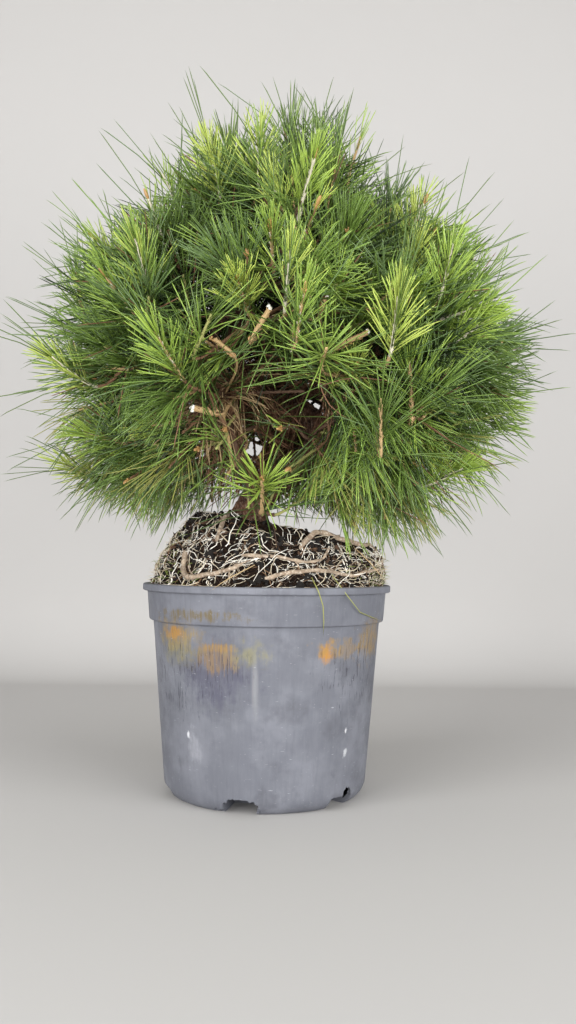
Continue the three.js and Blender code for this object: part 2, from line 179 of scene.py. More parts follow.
def smooth_noise(places: np.ndarray) -> np.ndarray:
    """Returns smooth noise at places, one row each, from -1 to 1."""
    return np.array([noise.noise(Vector(place)) for place in places])


def crumbly_noise(places: np.ndarray) -> np.ndarray:
    """Returns noise of two sizes at places, one row each, above and below a half."""
    return np.array([noise.turbulence(Vector(place), 2, False) for place in places])


class Draws:
    """A repeatable stream of numbers from 0 to 1, the same one that the solids were drawn from."""

    def __init__(self, seed: int) -> None:
        """Starts the stream at a seed."""
        self.state = seed & MASK

    def __call__(self) -> float:
        """Returns the next number."""
        self.state = (self.state + 0x6D2B79F5) & MASK
        t = ((self.state ^ (self.state >> 15)) * (1 | self.state)) & MASK
        t = ((t + (t ^ (t >> 7)) * (61 | t)) ^ t) & MASK
        return ((t ^ (t >> 14)) & MASK) / 2**32


class Curve:
    """A smooth line through points, followed by its length."""

    SAMPLES = 24  # for each span between two points

    def __init__(self, points: Iterable[Sequence[float]]) -> None:
        """Fits the line.

        Args:
            points: What it runs through, in order.
        """
        given = np.array(list(points), float)
        ends = [2 * given[0] - given[1], *given, 2 * given[-1] - given[-2]]
        spans = [self._span(*ends[i : i + 4]) for i in range(len(given) - 1)]
        self.line = np.vstack([*spans, given[-1:]])
        steps = np.linalg.norm(np.diff(self.line, axis=0), axis=1)
        self.marks = np.concatenate([[0.0], np.cumsum(steps)])
        self.length = float(self.marks[-1])

    @classmethod
    def _span(cls, before: np.ndarray, start: np.ndarray, end: np.ndarray, after: np.ndarray) -> np.ndarray:
        """Samples one span of a centripetal spline, without its end."""
        pairs = ((before, start), (start, end), (end, after))
        gap0, gap1, gap2 = (max(np.linalg.norm(b - a), 1e-6) ** 0.5 for a, b in pairs)
        leaving = ((start - before) / gap0 - (end - before) / (gap0 + gap1) + (end - start) / gap1) * gap1
        arriving = ((end - start) / gap1 - (after - start) / (gap1 + gap2) + (after - end) / gap2) * gap1
        t = np.linspace(0, 1, cls.SAMPLES, endpoint=False)[:, None]
        square = 3 * (end - start) - 2 * leaving - arriving
        cube = 2 * (start - end) + leaving + arriving
        return start + leaving * t + square * t**2 + cube * t**3

    def at(self, share: np.ndarray | float) -> np.ndarray:
        """Returns the points at shares of the length."""
        where = np.asarray(share) * self.length
        return np.stack([np.interp(where, self.marks, self.line[:, k]) for k in range(3)], axis=-1)

    def along(self, share: np.ndarray | float) -> np.ndarray:
        """Returns the line's direction at shares of the length."""
        reach = 0.02
        return unit(self.at(np.minimum(share + reach, 1)) - self.at(np.maximum(share - reach, 0)))


def added(name: str, data: bpy.types.ID) -> Object:
    """Puts data in the scene as a new object."""
    thing = bpy.data.objects.new(name, data)
    bpy.context.scene.collection.objects.link(thing)
    return thing


def place(
    name: str, mesh: Mesh, finishes: Sequence[Material], slot: str, replaced: Sequence[str] = ()
) -> Object:
    """Puts a finished mesh in the scene as a piece of the plant.

    Args:
        name: The piece's name.
        mesh: Its mesh, in metres and in place.
        finishes: Its materials, in the order of the mesh's slots.
        slot: The record's material slot that the piece belongs to. Not used.
        replaced: The solids that it stands for.

    Returns:
        The new object.
    """
    piece = added(name, mesh)
    for finish in finishes:
        mesh.materials.append(finish)
    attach(piece, BODY)
    if replaced:
        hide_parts(*replaced)
    log.info("%s: %d faces", name, len(mesh.polygons))
    return piece


def finished_mesh(name: str, bm: bmesh.types.BMesh) -> Mesh:
    """Closes a bmesh's doubles, turns its faces out and hands it over in metres.

    Args:
        name: The mesh's name.
        bm: The bmesh, in millimetres. It is freed.

    Returns:
        The mesh.
    """
    bmesh.ops.remove_doubles(bm, verts=bm.verts, dist=0.001)
    bmesh.ops.recalc_face_normals(bm, faces=bm.faces)
    bmesh.ops.scale(bm, vec=(MM, MM, MM), verts=bm.verts)
    mesh = bpy.data.meshes.new(name)
    bm.to_mesh(mesh)
    bm.free()
    return mesh


def modified(mesh: Mesh, *modifiers: tuple[str, dict[str, object]]) -> Mesh:
    """Puts modifiers on a mesh and applies them.

    Args:
        mesh: The mesh, which is removed.
        modifiers: Each one's type and its settings.

    Returns:
        The changed mesh.
    """
    holder = added("holder", mesh)
    for kind, settings in modifiers:
        modifier = holder.modifiers.new(kind.lower(), kind)
        for option, value in settings.items():
            setattr(modifier, option, value)
    changed = bpy.data.meshes.new_from_object(holder.evaluated_get(bpy.context.evaluated_depsgraph_get()))
    changed.name = mesh.name
    bpy.data.objects.remove(holder)
    bpy.data.meshes.remove(mesh)
    return changed


def places_of(mesh: Mesh) -> np.ndarray:
    """Returns a mesh's vertices in millimetres, one row each."""
    flat = np.empty(len(mesh.vertices) * 3, np.float32)
    mesh.vertices.foreach_get("co", flat)
    return flat.reshape(-1, 3).astype(float) / MM


def normals_of(mesh: Mesh) -> np.ndarray:
    """Returns the normals at a mesh's vertices, one row each."""
    return np.array([corner.normal[:] for corner in mesh.vertices])


def move_to(mesh: Mesh, places: np.ndarray) -> None:
    """Moves a mesh's vertices to places in millimetres."""
    mesh.vertices.foreach_set("co", (places * MM).astype(np.float32).ravel())
    mesh.update()


def turn_round(bm: bmesh.types.BMesh, steps: int) -> None:
    """Turns a half section in the XZ plane once round the upright axis."""
    bmesh.ops.spin(
        bm, geom=bm.verts[:] + bm.edges[:], axis=(0, 0, 1), cent=(0, 0, 0), dvec=(0, 0, 0),
        angle=2 * math.pi, steps=steps, use_merge=True,
    )


def grow_limb(bm: bmesh.types.BMesh, line: np.ndarray, radii: np.ndarray, sides: int) -> None:
    """Grows a closed limb by extruding its end from ring to ring.

    Args:
        bm: The bmesh that it is added to.
        line: The middle of each ring, one row each.
        radii: Each ring's radius.
        sides: Corners of a ring.
    """
    along = unit(np.gradient(line, axis=0))
    across = square_to(along[0])[0]
    frames = []
    for middle, forward, radius in zip(line, along, radii):
        across = unit(across - (across @ forward) * forward)
        over = np.cross(forward, across)
        columns = np.column_stack([across * radius, over * radius, forward, middle])
        frames.append(Matrix(np.vstack([columns, [0, 0, 0, 1]]).tolist()))
    ring = bmesh.ops.create_circle(bm, cap_ends=True, segments=sides, radius=1, matrix=frames[0])
    end = ring["verts"][0].link_faces[0]
    for before, after in zip(frames, frames[1:]):
        grown = bmesh.ops.extrude_face_region(bm, geom=[end])["geom"]
        end = next(part for part in grown if isinstance(part, bmesh.types.BMFace))
        bmesh.ops.transform(bm, matrix=after @ before.inverted(), verts=end.verts)


class Bundle:
    """Many small closed shapes, gathered as arrays and joined in one mesh."""

    def __init__(self) -> None:
        """Starts empty."""
        self.points: list[np.ndarray] = []
        self.faces: list[np.ndarray] = []
        self.slots: list[np.ndarray] = []
        self.size = 0

    def add(self, points: np.ndarray, faces: np.ndarray, slots: np.ndarray | int) -> None:
        """Adds copies of one shape.

        Args:
            points: The copies' corners, as (copy, corner, axis).
            faces: The triangles of one copy.
            slots: The material slot of each copy, or of all.
        """
        count, corners = points.shape[:2]
        starts = self.size + corners * np.arange(count)
        self.points.append(points.reshape(-1, 3))
        self.faces.append((faces[None] + starts[:, None, None]).reshape(-1, 3))
        self.slots.append(np.repeat(np.broadcast_to(slots, count), len(faces)))
        self.size += count * corners

    def tubes(self, lines: np.ndarray, radii: np.ndarray, sides: int, slots: np.ndarray | int) -> None:
        """Adds slim tubes, each with a flat foot and a pointed tip.

        Args:
            lines: Ring middles and last the tip, as (tube, point, axis).
            radii: Radius at each ring, as (tube, ring).
            sides: Corners of a ring.
            slots: The material slot of each tube, or of all.
        """
        rings = lines.shape[1] - 1
        along = unit(np.gradient(lines, axis=1))
        helper = square_to(unit(lines[:, -1] - lines[:, 0]))[0][:, None]
        across = unit(np.cross(along, helper))[:, :-1, None]
        over = np.cross(along[:, :-1, None], across)
        turn = (2 * np.pi * np.arange(sides) / sides)[:, None]
        spokes = across * np.cos(turn) + over * np.sin(turn)
        corners = lines[:, :-1, None] + radii[:, :, None, None] * spokes
        points = np.concatenate([corners.reshape(len(lines), -1, 3), lines[:, -1:]], axis=1)
        faces = [(0, k + 1, k) for k in range(1, sides - 1)]
        for ring in range(rings):
            for k in range(sides):
                low, next_low = ring * sides + k, ring * sides + (k + 1) % sides
                if ring == rings - 1:
                    faces.append((low, next_low, rings * sides))
                else:
                    faces.append((low, next_low, next_low + sides))
                    faces.append((low, next_low + sides, low + sides))
        self.add(points, np.array(faces), slots)

    def lumps(
        self, places: np.ndarray, axes: np.ndarray, sizes: np.ndarray, slots: np.ndarray | int,
        rough: float = 0.0, fineness: int = 1,
    ) -> None:
        """Adds lumps, from round to long or flat.

        Args:
            places: The lumps' middles.
            axes: The direction in which each is longest.
            sizes: Half width, half thickness and half length of each.
            slots: The material slot of each lump, or of all.
            rough: How uneven they are, as a share of their size.
            fineness: Subdivisions of the ball that they start from.
        """
        bm = bmesh.new()
        bmesh.ops.create_icosphere(bm, subdivisions=fineness, radius=1)
        ball = np.array([corner.co[:] for corner in bm.verts])
        faces = np.array([[corner.index for corner in face.verts] for face in bm.faces])
        bm.free()
        across, over = square_to(axes)
        frames = np.stack([across, over, axes], axis=1)
        uneven = np.random.default_rng(len(places)).uniform(1 - rough, 1 + rough, (len(places), len(ball), 1))
        points = places[:, None] + np.einsum("nkj,nji->nki", ball * uneven * sizes[:, None], frames)
        self.add(points, faces, slots)

    def piece(
        self, name: str, finishes: Sequence[Material], slot: str, replaced: Sequence[str] = ()
    ) -> Object:
        """Joins what was gathered into one piece.

        Args:
            name: The piece's name.
            finishes: Its materials, in the order of the slots.
            slot: The record's material slot.
            replaced: The solids that it stands for.

        Returns:
            The new object.
        """
        points, faces = np.concatenate(self.points) * MM, np.concatenate(self.faces)
        mesh = bpy.data.meshes.new(name)
        mesh.vertices.add(len(points))
        mesh.vertices.foreach_set("co", points.astype(np.float32).ravel())
        mesh.loops.add(faces.size)
        mesh.loops.foreach_set("vertex_index", faces.astype(np.int32).ravel())
        mesh.polygons.add(len(faces))
        mesh.polygons.foreach_set("loop_start", np.arange(0, faces.size, 3, dtype=np.int32))
        mesh.polygons.foreach_set("material_index", np.concatenate(self.slots).astype(np.int32))
        mesh.update(calc_edges=True)
        mesh.shade_smooth()
        return place(name, mesh, finishes, slot, replaced)


def new_material(name: str) -> tuple[Material, NodeTree, Node]:
    """Returns a new material, its node tree and its principled shader."""
    material = bpy.data.materials.new(name)
    material.use_nodes = True
    return material, material.node_tree, material.node_tree.nodes["Principled BSDF"]


@dataclass(frozen=True)
class Plain:
    """A plain finish for small things, whose shapes and many tones carry the detail."""

    name: str
    colour: str
    roughness: float
    coat: float = 0.0

    def material(self) -> Material:
        """Makes the material."""
        material, tree, shader = new_material(self.name)
        values = {"Base Color": linear(self.colour), "Roughness": self.roughness, "Coat Weight": self.coat}
        wire(tree, shader, values)
        return material


def slot_of(kind: Enum) -> int:
    """Returns the material slot of a colour, which is its place among its kind."""
    return list(type(kind)).index(kind)


class Tone(Enum):
    """The needles' colours. Their thin wax gives a soft gloss along each needle."""

    FRESH = Plain("pine_needle_fresh_waxed", "#b7c761", 0.28)
    BRIGHT = Plain("pine_needle_bright_waxed", "#9bb54f", 0.28)
    SPRING = Plain("pine_needle_spring_waxed", "#8aa54c", 0.28)
    GREEN = Plain("pine_needle_green_waxed", "#728d42", 0.29)
    LEAF = Plain("pine_needle_mature_waxed", "#5a7133", 0.3)
    BLUISH = Plain("pine_needle_bluish_waxed", "#62794a", 0.3)
    DEEP = Plain("pine_needle_deep_waxed", "#425a28", 0.3)
    # Painted shade: a near-black green for the inner shoots' needles, so that the inside of the crown looks
    # shaded
    PAINTED_SHADE = Plain("pine_needle_painted_shade_waxed", "#26351b", 0.4)
    OLIVE = Plain("pine_needle_olive_waxed", "#93954f", 0.4)
    STRAW = Plain("pine_needle_dead_dry", "#b59c74", 0.7)
    RUST = Plain("pine_needle_rust_dry", "#7a573f", 0.75)


class Wood(Enum):
    """The twigs' colours, from old bark to this year's pale shoots, and what sits on them."""

    OLD = Plain("pine_twig_bark_flaky", "#5d4636", 0.9)
    BROWN = Plain("pine_twig_bark_brown", "#7b5c42", 0.85)
    TAN = Plain("pine_twig_bark_tan", "#b3966a", 0.8)
    NEW = Plain("pine_shoot_bark_green", "#9a9a5c", 0.7)
    WHITE = Plain("pine_shoot_scales_papery", "#cbc4ae", 0.75)
    BUD = Plain("pine_bud_scales_resinous", "#b28a55", 0.5, 0.3)
    RESIN = Plain("pine_resin_dried", "#ece8df", 0.4, 0.4)


class Fibre(Enum):
    """The fine roots' and the peat's colours."""

    CREAM = Plain("pine_rootlet_fresh_cream", "#f3eee3", 0.65)
    SAND = Plain("pine_rootlet_dry_sand", "#c9bca4", 0.75)
    BARK = Plain("pine_rootlet_bark_brown", "#7b5d42", 0.85)
    DARK = Plain("pine_rootlet_bark_dark", "#3b2a20", 0.9)
    PEAT = Plain("peat_crumb_damp", "#120d0a", 1.0)
    CHIP = Plain("bark_chip_composted", "#4a3526", 0.9)
    MOSS = Plain("moss_leaf_damp", "#7c8a42", 0.75)


@dataclass(frozen=True)
class Patch:
    """A stain on the pot's wall, placed by its azimuth and height and fading at its edge."""

    colour: str
    azimuth: float
    height: float
    half_width: float
    half_height: float
    strength: float
    fade: float = 0.5
    ragged: float = 0.5  # how far noise moves the edge
    streaky: float = 0.0  # how much upright streaks move the edge
    worn: float = 0.5  # how much of it upright streaks take away


@dataclass(frozen=True)
class WeatheredPolypropylene:
    """Grey polypropylene, injection moulded and long out of doors.

    The sun has chalked it, so it is matt, cloudy and paler in upright streaks, with fine upright
    cracks, scuffs, and rusty and ochre stains where algae and iron ran down.
    """

    body: str = "#62646c"
    pale: str = "#74767e"
    dark: str = "#515259"
    crack: str = "#34333c"
    scuff: str = "#b4b5bb"
    fleck: str = "#b5b6bb"
    arc_radius: float = 84  # along which patches are measured
    clouds: float = 38  # millimetres across
    dull_clouds: float = 12
    streak: tuple[float, float] = (2.2, 42)  # width and length
    crack_gap: float = 1.7
    crack_lengths: tuple[float, float] = (26, 30)
    scuff_size: tuple[float, float] = (5.0, 1.1)
    edge_size: float = 7  # of the noise that makes stains ragged
    ragged_push: float = 3.2
    streaky_push: float = 2.4
    fleck_size: float = 1.6
    grit: float = 0.5
    relief: float = 0.25
    patches: tuple[Patch, ...] = (
        Patch("#4b4b5a", -25, 96, 25, 19, 0.85, 0.6, 0.7, 0.4, 0.2),
        Patch("#7a6449", -24, 107, 15, 10, 0.85, 0.25, 0.35, 0.5, 0.6),
        Patch("#92723c", -24, 114, 15, 2.5, 0.7, 0.5, 0.6, 0.2, 0.6),
        Patch("#927b45", -47, 119, 15, 9, 0.75, 0.8, 1.4, 0.3, 0.5),
        Patch("#a2742e", -49, 122, 8, 4.5, 0.9, 0.7, 1.4, 0.4, 0.35),
        Patch("#7e7a5a", -46, 110, 16, 7, 0.5, 0.9, 1.3, 0.3, 0.4),
        Patch("#665838", -33, 136, 27, 3.2, 0.85, 0.5, 1.3, 0.9, 0.6),
        Patch("#85805a", -8, 110, 10, 6, 0.6, 0.9, 1.5, 0.3, 0.5),
        Patch("#ac782a", 30, 110, 4.2, 6, 0.95, 0.7, 1.3, 0.3, 0.25),
        Patch("#907440", 40, 113, 15, 5.5, 0.8, 0.7, 1.4, 0.4, 0.55),
        Patch("#876f41", 62, 119, 15, 11, 0.75, 0.7, 1.4, 0.6, 0.7),
        Patch("#8c8d8f", -5, 88, 1.8, 16, 0.6, 0.9, 0.5, 0.2, 0.2),
        Patch("#cfcfd3", -42, 52, 1.1, 2.2, 0.9, 0.7, 1.6, 0.0, 0.0),
        Patch("#9b9ca3", -38, 45, 5, 9, 0.5, 0.9, 1.4, 0.3, 0.5),
        Patch("#dadadd", 45, 55, 1.0, 1.6, 0.9, 0.7, 1.6, 0.0, 0.0),
        Patch("#c9cacd", 46, 39, 1.6, 2.2, 0.7, 0.7, 2.0, 0.0, 0.4),
    )
    # Where upright cracks show. Only the masks of these are used
    cracked: tuple[Patch, ...] = (
        Patch("#000000", 54, 97, 36, 30, 1.0, 0.5, 0.8, 0.0),
        Patch("#000000", -52, 92, 30, 30, 0.9, 0.5, 0.8, 0.0),
        Patch("#000000", -24, 98, 22, 16, 0.9, 0.5, 0.8, 0.0),
    )

    def skin(self, tree: NodeTree) -> tuple[NodeSocket, NodeSocket]:
        """Lays the wall out flat.

        Args:
            tree: The material's node tree.

        Returns:
            The place in millimetres, and the same unrolled: along the wall from the front, up.
        """
        place_m = add_node(tree, "TexCoord", output="Object")
        solid = add_node(tree, "VectorMath", {0: place_m, "Scale": 1 / MM}, operation="SCALE")
        axes = add_node(tree, "SeparateXYZ", {0: solid})
        node = axes.node
        back = add_node(tree, "Math", {0: node.outputs["Y"], 1: -1.0}, operation="MULTIPLY")
        turn = add_node(tree, "Math", {0: node.outputs["X"], 1: back}, operation="ARCTAN2")
        along = add_node(tree, "Math", {0: turn, 1: self.arc_radius}, operation="MULTIPLY")
        return solid, add_node(tree, "CombineXYZ", {"X": along, "Y": node.outputs["Z"]})

    def streaks(self, tree: NodeTree, solid: NodeSocket, width: float, length: float) -> NodeSocket:
        """Makes upright streaks.

        Args:
            tree: The material's node tree.
            solid: The place in millimetres.
            width: A streak's width in millimetres.
            length: Its length.

        Returns:
            Their strength from 0 to 1.
        """
        scale = (1 / width, 1 / width, 1 / length)
        squeezed = add_node(tree, "VectorMath", {0: solid, 1: scale}, operation="MULTIPLY")
        return add_node(tree, "TexNoise", {"Vector": squeezed, "Scale": 1.0, "Detail": 3.0, "Roughness": 0.6})

    def patch(
        self, tree: NodeTree, flat: NodeSocket, ragged: NodeSocket, streaks: NodeSocket, patch: Patch
    ) -> NodeSocket:
        """Makes the mask of one stain.

        Args:
            tree: The material's node tree.
            flat: The unrolled place.
            ragged: Noise that moves the edge.
            streaks: Upright streaks that break the stain up.
            patch: The stain.

        Returns:
            Its strength from 0 to 1.
        """
        middle = (math.radians(patch.azimuth) * self.arc_radius, patch.height, 0)
        size = (1 / patch.half_width, 1 / patch.half_height, 0)
        off = add_node(tree, "VectorMath", {0: flat, 1: middle}, operation="SUBTRACT")
        scaled = add_node(tree, "VectorMath", {0: off, 1: size}, operation="MULTIPLY")
        away = add_node(tree, "VectorMath", {0: scaled}, output="Value", operation="LENGTH")
        torn, striped = self.ragged_push * patch.ragged, self.streaky_push * patch.streaky
        edge = add_node(tree, "Math", {0: ragged, 1: torn, 2: away}, operation="MULTIPLY_ADD")
        broken = add_node(tree, "Math", {0: streaks, 1: striped, 2: edge}, operation="MULTIPLY_ADD")
        # Both noises have a mean of a half, which is taken off again here
        shift = (torn + striped) / 2
        bounds = {
            "Value": broken,
            "From Min": 1 + patch.fade + shift,
            "From Max": 1 - patch.fade + shift,
            "To Max": patch.strength,
        }
        mask = add_node(tree, "MapRange", bounds, interpolation_type="SMOOTHSTEP")
        worn = {"Value": streaks, "From Min": 0.62, "From Max": 0.42, "To Min": 1 - patch.worn}
        holes = add_node(tree, "MapRange", worn, interpolation_type="SMOOTHSTEP")
        return add_node(tree, "Math", {0: mask, 1: holes}, operation="MULTIPLY")

    def material(self) -> Material:
        """Makes the material."""
        material, tree, shader = new_material("pot_polypropylene_moulded_weathered")
        solid, flat = self.skin(tree)

        def noise_of(size: float, detail: float = 4.0) -> NodeSocket:
            """Returns even noise whose lumps are that many millimetres across."""
            scale = {"Vector": solid, "Scale": 1 / size, "Detail": detail, "Roughness": 0.6}
            return add_node(tree, "TexNoise", scale)

        def between(
            value: NodeSocket, low: float, high: float, most: float = 1.0, least: float = 0.0
        ) -> NodeSocket:
            """Returns how far a value is from low to high, as a number from least to most."""
            bounds = {"Value": value, "From Min": low, "From Max": high, "To Min": least, "To Max": most}
            return add_node(tree, "MapRange", bounds, interpolation_type="SMOOTHSTEP")

        def tinted(under: NodeSocket | tuple[float, ...], over: str, mask: NodeSocket) -> NodeSocket:
            """Returns a colour laid over another by a mask."""
            inputs = {0: mask, 6: under, 7: linear(over)}
            return add_node(tree, "Mix", inputs, output=2, data_type="RGBA")

        streaks = self.streaks(tree, solid, *self.streak)
        fine = self.streaks(tree, solid, self.crack_gap, self.crack_lengths[0])
        ragged = noise_of(self.edge_size, 5)
        colour = tinted(linear(self.body), self.pale, between(noise_of(self.clouds), 0.42, 0.68, 0.8))
        colour = tinted(colour, self.dark, between(noise_of(self.clouds * 0.6), 0.5, 0.74, 0.65))
        colour = tinted(colour, self.pale, between(streaks, 0.5, 0.72, 0.2))
        colour = tinted(colour, self.dark, between(streaks, 0.46, 0.3, 0.2))
        for patch in self.patches:
            colour = tinted(colour, patch.colour, self.patch(tree, flat, ragged, fine, patch))
        scuffed = self.streaks(tree, solid, *self.scuff_size)
        colour = tinted(colour, self.scuff, between(scuffed, 0.66, 0.78, 0.5))
        narrow = self.streaks(tree, solid, self.crack_gap * 0.7, self.crack_lengths[1])
        lines, cracks = between(narrow, 0.43, 0.395), 0.0
        for patch in self.cracked:
            where = self.patch(tree, flat, ragged, fine, patch)
            found = add_node(tree, "Math", {0: where, 1: lines}, operation="MULTIPLY")
            cracks = add_node(tree, "Math", {0: cracks, 1: found}, operation="MAXIMUM")
        colour = tinted(colour, self.crack, between(cracks, 0.0, 1.0, 0.8))
        colour = tinted(colour, self.fleck, between(noise_of(self.fleck_size, 2), 0.72, 0.8, 0.4))
        grain = add_node(tree, "Math", {0: streaks, 1: noise_of(self.grit, 2)}, operation="ADD")
        height = add_node(tree, "Math", {0: cracks, 1: -1.6, 2: grain}, operation="MULTIPLY_ADD")
        bump = {"Height": height, "Strength": 0.35, "Distance": self.relief * MM}
        values = {
            "Base Color": colour,
            "Roughness": between(noise_of(self.dull_clouds), 0.2, 0.8, 0.8, 0.5),
            "Normal": add_node(tree, "Bump", bump),
            "Specular IOR Level": 0.4,
        }
        wire(tree, shader, values)
        return material


@dataclass(frozen=True)
class NoisyFinish:
    """A natural surface of three colours in lumps and streaks, with fine relief."""

    name: str
    dark: str
    middle: str
    light: str
    lump: float  # millimetres across
    stretch: tuple[float, float, float] = (1, 1, 1)  # of the lumps along each axis
    roughness: float = 0.9
    relief: float = 0.4  # millimetres
    gloss: float = 0.4

    def material(self) -> Material:
        """Makes the material."""
        material, tree, shader = new_material(self.name)
        place_m = add_node(tree, "TexCoord", output="Object")
        scale = tuple(1 / (MM * self.lump * part) for part in self.stretch)
        solid = add_node(tree, "VectorMath", {0: place_m, 1: scale}, operation="MULTIPLY")
        coarse = add_node(tree, "TexNoise", {"Vector": solid, "Scale": 1.0, "Detail": 6.0, "Roughness": 0.65})
        fine = add_node(tree, "TexNoise", {"Vector": solid, "Scale": 3.3, "Detail": 3.0, "Roughness": 0.6})
        dim = add_node(tree, "MapRange", {"Value": coarse, "From Min": 0.36, "From Max": 0.6})
        lit = add_node(tree, "MapRange", {"Value": fine, "From Min": 0.5, "From Max": 0.72})
        inputs = {0: dim, 6: linear(self.dark), 7: linear(self.middle)}
        colour = add_node(tree, "Mix", inputs, output=2, data_type="RGBA")
        inputs = {0: lit, 6: colour, 7: linear(self.light)}
        colour = add_node(tree, "Mix", inputs, output=2, data_type="RGBA")
        height = add_node(tree, "Math", {0: fine, 1: 0.5, 2: coarse}, operation="MULTIPLY_ADD")
        bump = add_node(tree, "Bump", {"Height": height, "Strength": 0.8, "Distance": self.relief * MM})
        values = {"Base Color": colour, "Roughness": self.roughness, "Normal": bump}
        wire(tree, shader, {**values, "Specular IOR Level": self.gloss})
        return material


# Damp sphagnum peat, near black with brown fibres, that swallows light between the roots
PEAT = NoisyFinish("peat_damp_fibrous", "#0b0807", "#1a130f", "#3a2b20", 2.6, relief=0.8, gloss=0.06)
# Bark of roots that have met the air: tan to grey, with pale rubbed spots
ROOT_BARK = NoisyFinish("pine_root_bark_dried", "#7d6b5a", "#a18f7b", "#c8bbaa", 5.5, relief=0.3)
# Young Aleppo pine bark: thin reddish-brown plates with grey edges and dark furrows
PINE_BARK = NoisyFinish("pine_bark_flaky", "#35221a", "#6d4b38", "#9a8271", 4.2, (1, 1, 2.2), relief=0.6)


@dataclass
class NurseryPot:
    """The tapered pot: a stepped band and a lip above a wall, on a foot with torn drain notches."""

    lip_height: float = 5.2
    band_top_radius: float = 91
    band_bottom_radius: float = 89.3
    band_bottom: float = 129
    body_top_radius: float = 86.3
    body_bottom_radius: float = 75.8
    foot_radius: float = 70
    foot_bevel: float = 6.5
    wall: float = 1.9
    floor: float = 3
    drains: int = 6
    first_drain: float = -13.5
    drain_width: float = 23
    drain_height: float = 8.5
    drain_inner: float = 42
    drain_roof: float = 1.8
    roof_end: float = 66
    sides: int = 180
    dent: float = 0.55
    # Azimuth, height, half width, half depth, half height and seed. The front notch is torn wider and
    # ragged, the next one to the right a little
    tears: tuple[tuple[float, ...], ...] = (
        (-25.5, 0.0, 6.5, 8, 3.2, 3), (-16.0, 4.5, 6.5, 8, 6.4, 7), (-8.0, 4.5, 8, 8, 6.0, 11),
        (-13.5, 8.0, 9, 8, 3.6, 23), (41.5, 3.5, 6, 8, 5.5, 31), (51.0, 7.0, 5, 12, 7.0, 37),
    )
    radius: float = field(init=False)
    height: float = field(init=False)

    def __post_init__(self) -> None:
        """Takes the lip's radius and the height from the solid."""
        low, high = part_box("pot")
        self.radius = (high.x - low.x) / 2 / MM
        self.height = high.z / MM

    def section(self, bm: bmesh.types.BMesh) -> None:
        """Draws half of the pot's section in the XZ plane, with rounded corners.

        Args:
            bm: The bmesh to draw it in.
        """
        lip_foot, wall = self.height - self.lip_height, self.wall
        outline = [
            (0, 0, 0), (self.foot_radius, 0, 4), (self.body_bottom_radius, self.foot_bevel, 4),
            (self.body_top_radius, self.band_bottom, 0.5), (self.band_bottom_radius, self.band_bottom, 1.2),
            (self.band_top_radius, lip_foot, 0.6), (self.radius, lip_foot, 1.1),
            (self.radius, self.height, 1.3), (self.band_top_radius - wall, self.height, 1.0),
            (self.band_bottom_radius - wall, self.band_bottom + wall, 1.0),
            (self.body_top_radius - wall, self.band_bottom + wall, 1.0),
            (self.body_bottom_radius - wall, self.foot_bevel + self.floor, 3),
            (self.foot_radius - wall, self.floor, 3), (0, self.floor, 0),
        ]
        corners = [bm.verts.new((radius, 0, height)) for radius, height, _ in outline]
        edges = [bm.edges.new(pair) for pair in zip(corners, corners[1:])]
        tall = [edge for edge in edges if edge.calc_length() > 60]
        bmesh.ops.subdivide_edges(bm, edges=tall, cuts=30)
        for radius, height, rounding in outline:
            if rounding:
                spot = Vector((radius, 0, height))
                corner = min(bm.verts, key=lambda vert: (vert.co - spot).length)
                bmesh.ops.bevel(
                    bm, geom=[corner], offset=rounding, offset_type="OFFSET", segments=4,
                    profile=0.5, affect="VERTICES", material=-1,
                )

    def block(self, width: float, low: float, high: float, start: float, end: float, azimuth: float) -> Mesh:
        """Makes the block that a drain cuts or its roof fills.

        Args:
            width: Across the drain.
            low: Its underside's height.
            high: Its top's.
            start: Its inner end's distance from the axis.
            end: Its outer end's.
            azimuth: The drain's azimuth in degrees.

        Returns:
            The block's mesh.
        """
        bm = bmesh.new()
        bmesh.ops.create_cube(bm, size=1)
        bmesh.ops.scale(bm, vec=(width, end - start, high - low), verts=bm.verts)
        bmesh.ops.translate(bm, vec=(0, -(start + end) / 2, (low + high) / 2), verts=bm.verts)
        edges = [edge for edge in bm.edges if abs(edge.verts[0].co.y - edge.verts[1].co.y) > 1]
        top = [edge for edge in edges if edge.verts[0].co.z > (low + high) / 2]
        bmesh.ops.bevel(
            bm, geom=top, offset=1.6, offset_type="OFFSET", segments=3,
            profile=0.5, affect="EDGES", material=-1,
        )
        turn = Matrix.Rotation(math.radians(azimuth), 3, "Z")
        bmesh.ops.rotate(bm, matrix=turn, verts=bm.verts)
        return finished_mesh("drain", bm)

    def tear(self, azimuth: float, height: float, size: Sequence[float], seed: int) -> Mesh:
        """Makes a ragged lump that takes a torn bite out of the foot.

        Args:
            azimuth: Where its middle is, in degrees.
            height: Its middle's height.
            size: Its half width, half depth and half height.
            seed: For its raggedness.

        Returns:
            The lump's mesh.
        """
        bm = bmesh.new()
        bmesh.ops.create_icosphere(bm, subdivisions=4, radius=1)
        for corner in bm.verts:
            ragged = 1 + 0.3 * noise.noise(corner.co * 3.1 + Vector((seed, 0, 0)))
            corner.co *= ragged + 0.12 * noise.noise(corner.co * 9 + Vector((0, seed, 0)))
        bmesh.ops.scale(bm, vec=size, verts=bm.verts)
        bmesh.ops.translate(bm, vec=(0, -self.body_bottom_radius + 1, height), verts=bm.verts)
        bmesh.ops.rotate(bm, matrix=Matrix.Rotation(math.radians(azimuth), 3, "Z"), verts=bm.verts)
        return finished_mesh("tear", bm)

    def dented(self, mesh: Mesh) -> None:
        """Pushes the round wall a little out of true, most at the foot and the lip."""
        places = places_of(mesh)
        outwards = unit(places * [1, 1, 0])

        def swell(turns: float, height: float) -> np.ndarray:
            """Returns noise that runs round and up the wall."""
            return smooth_noise(np.column_stack([outwards[:, :2] * turns, places[:, 2] / height]))

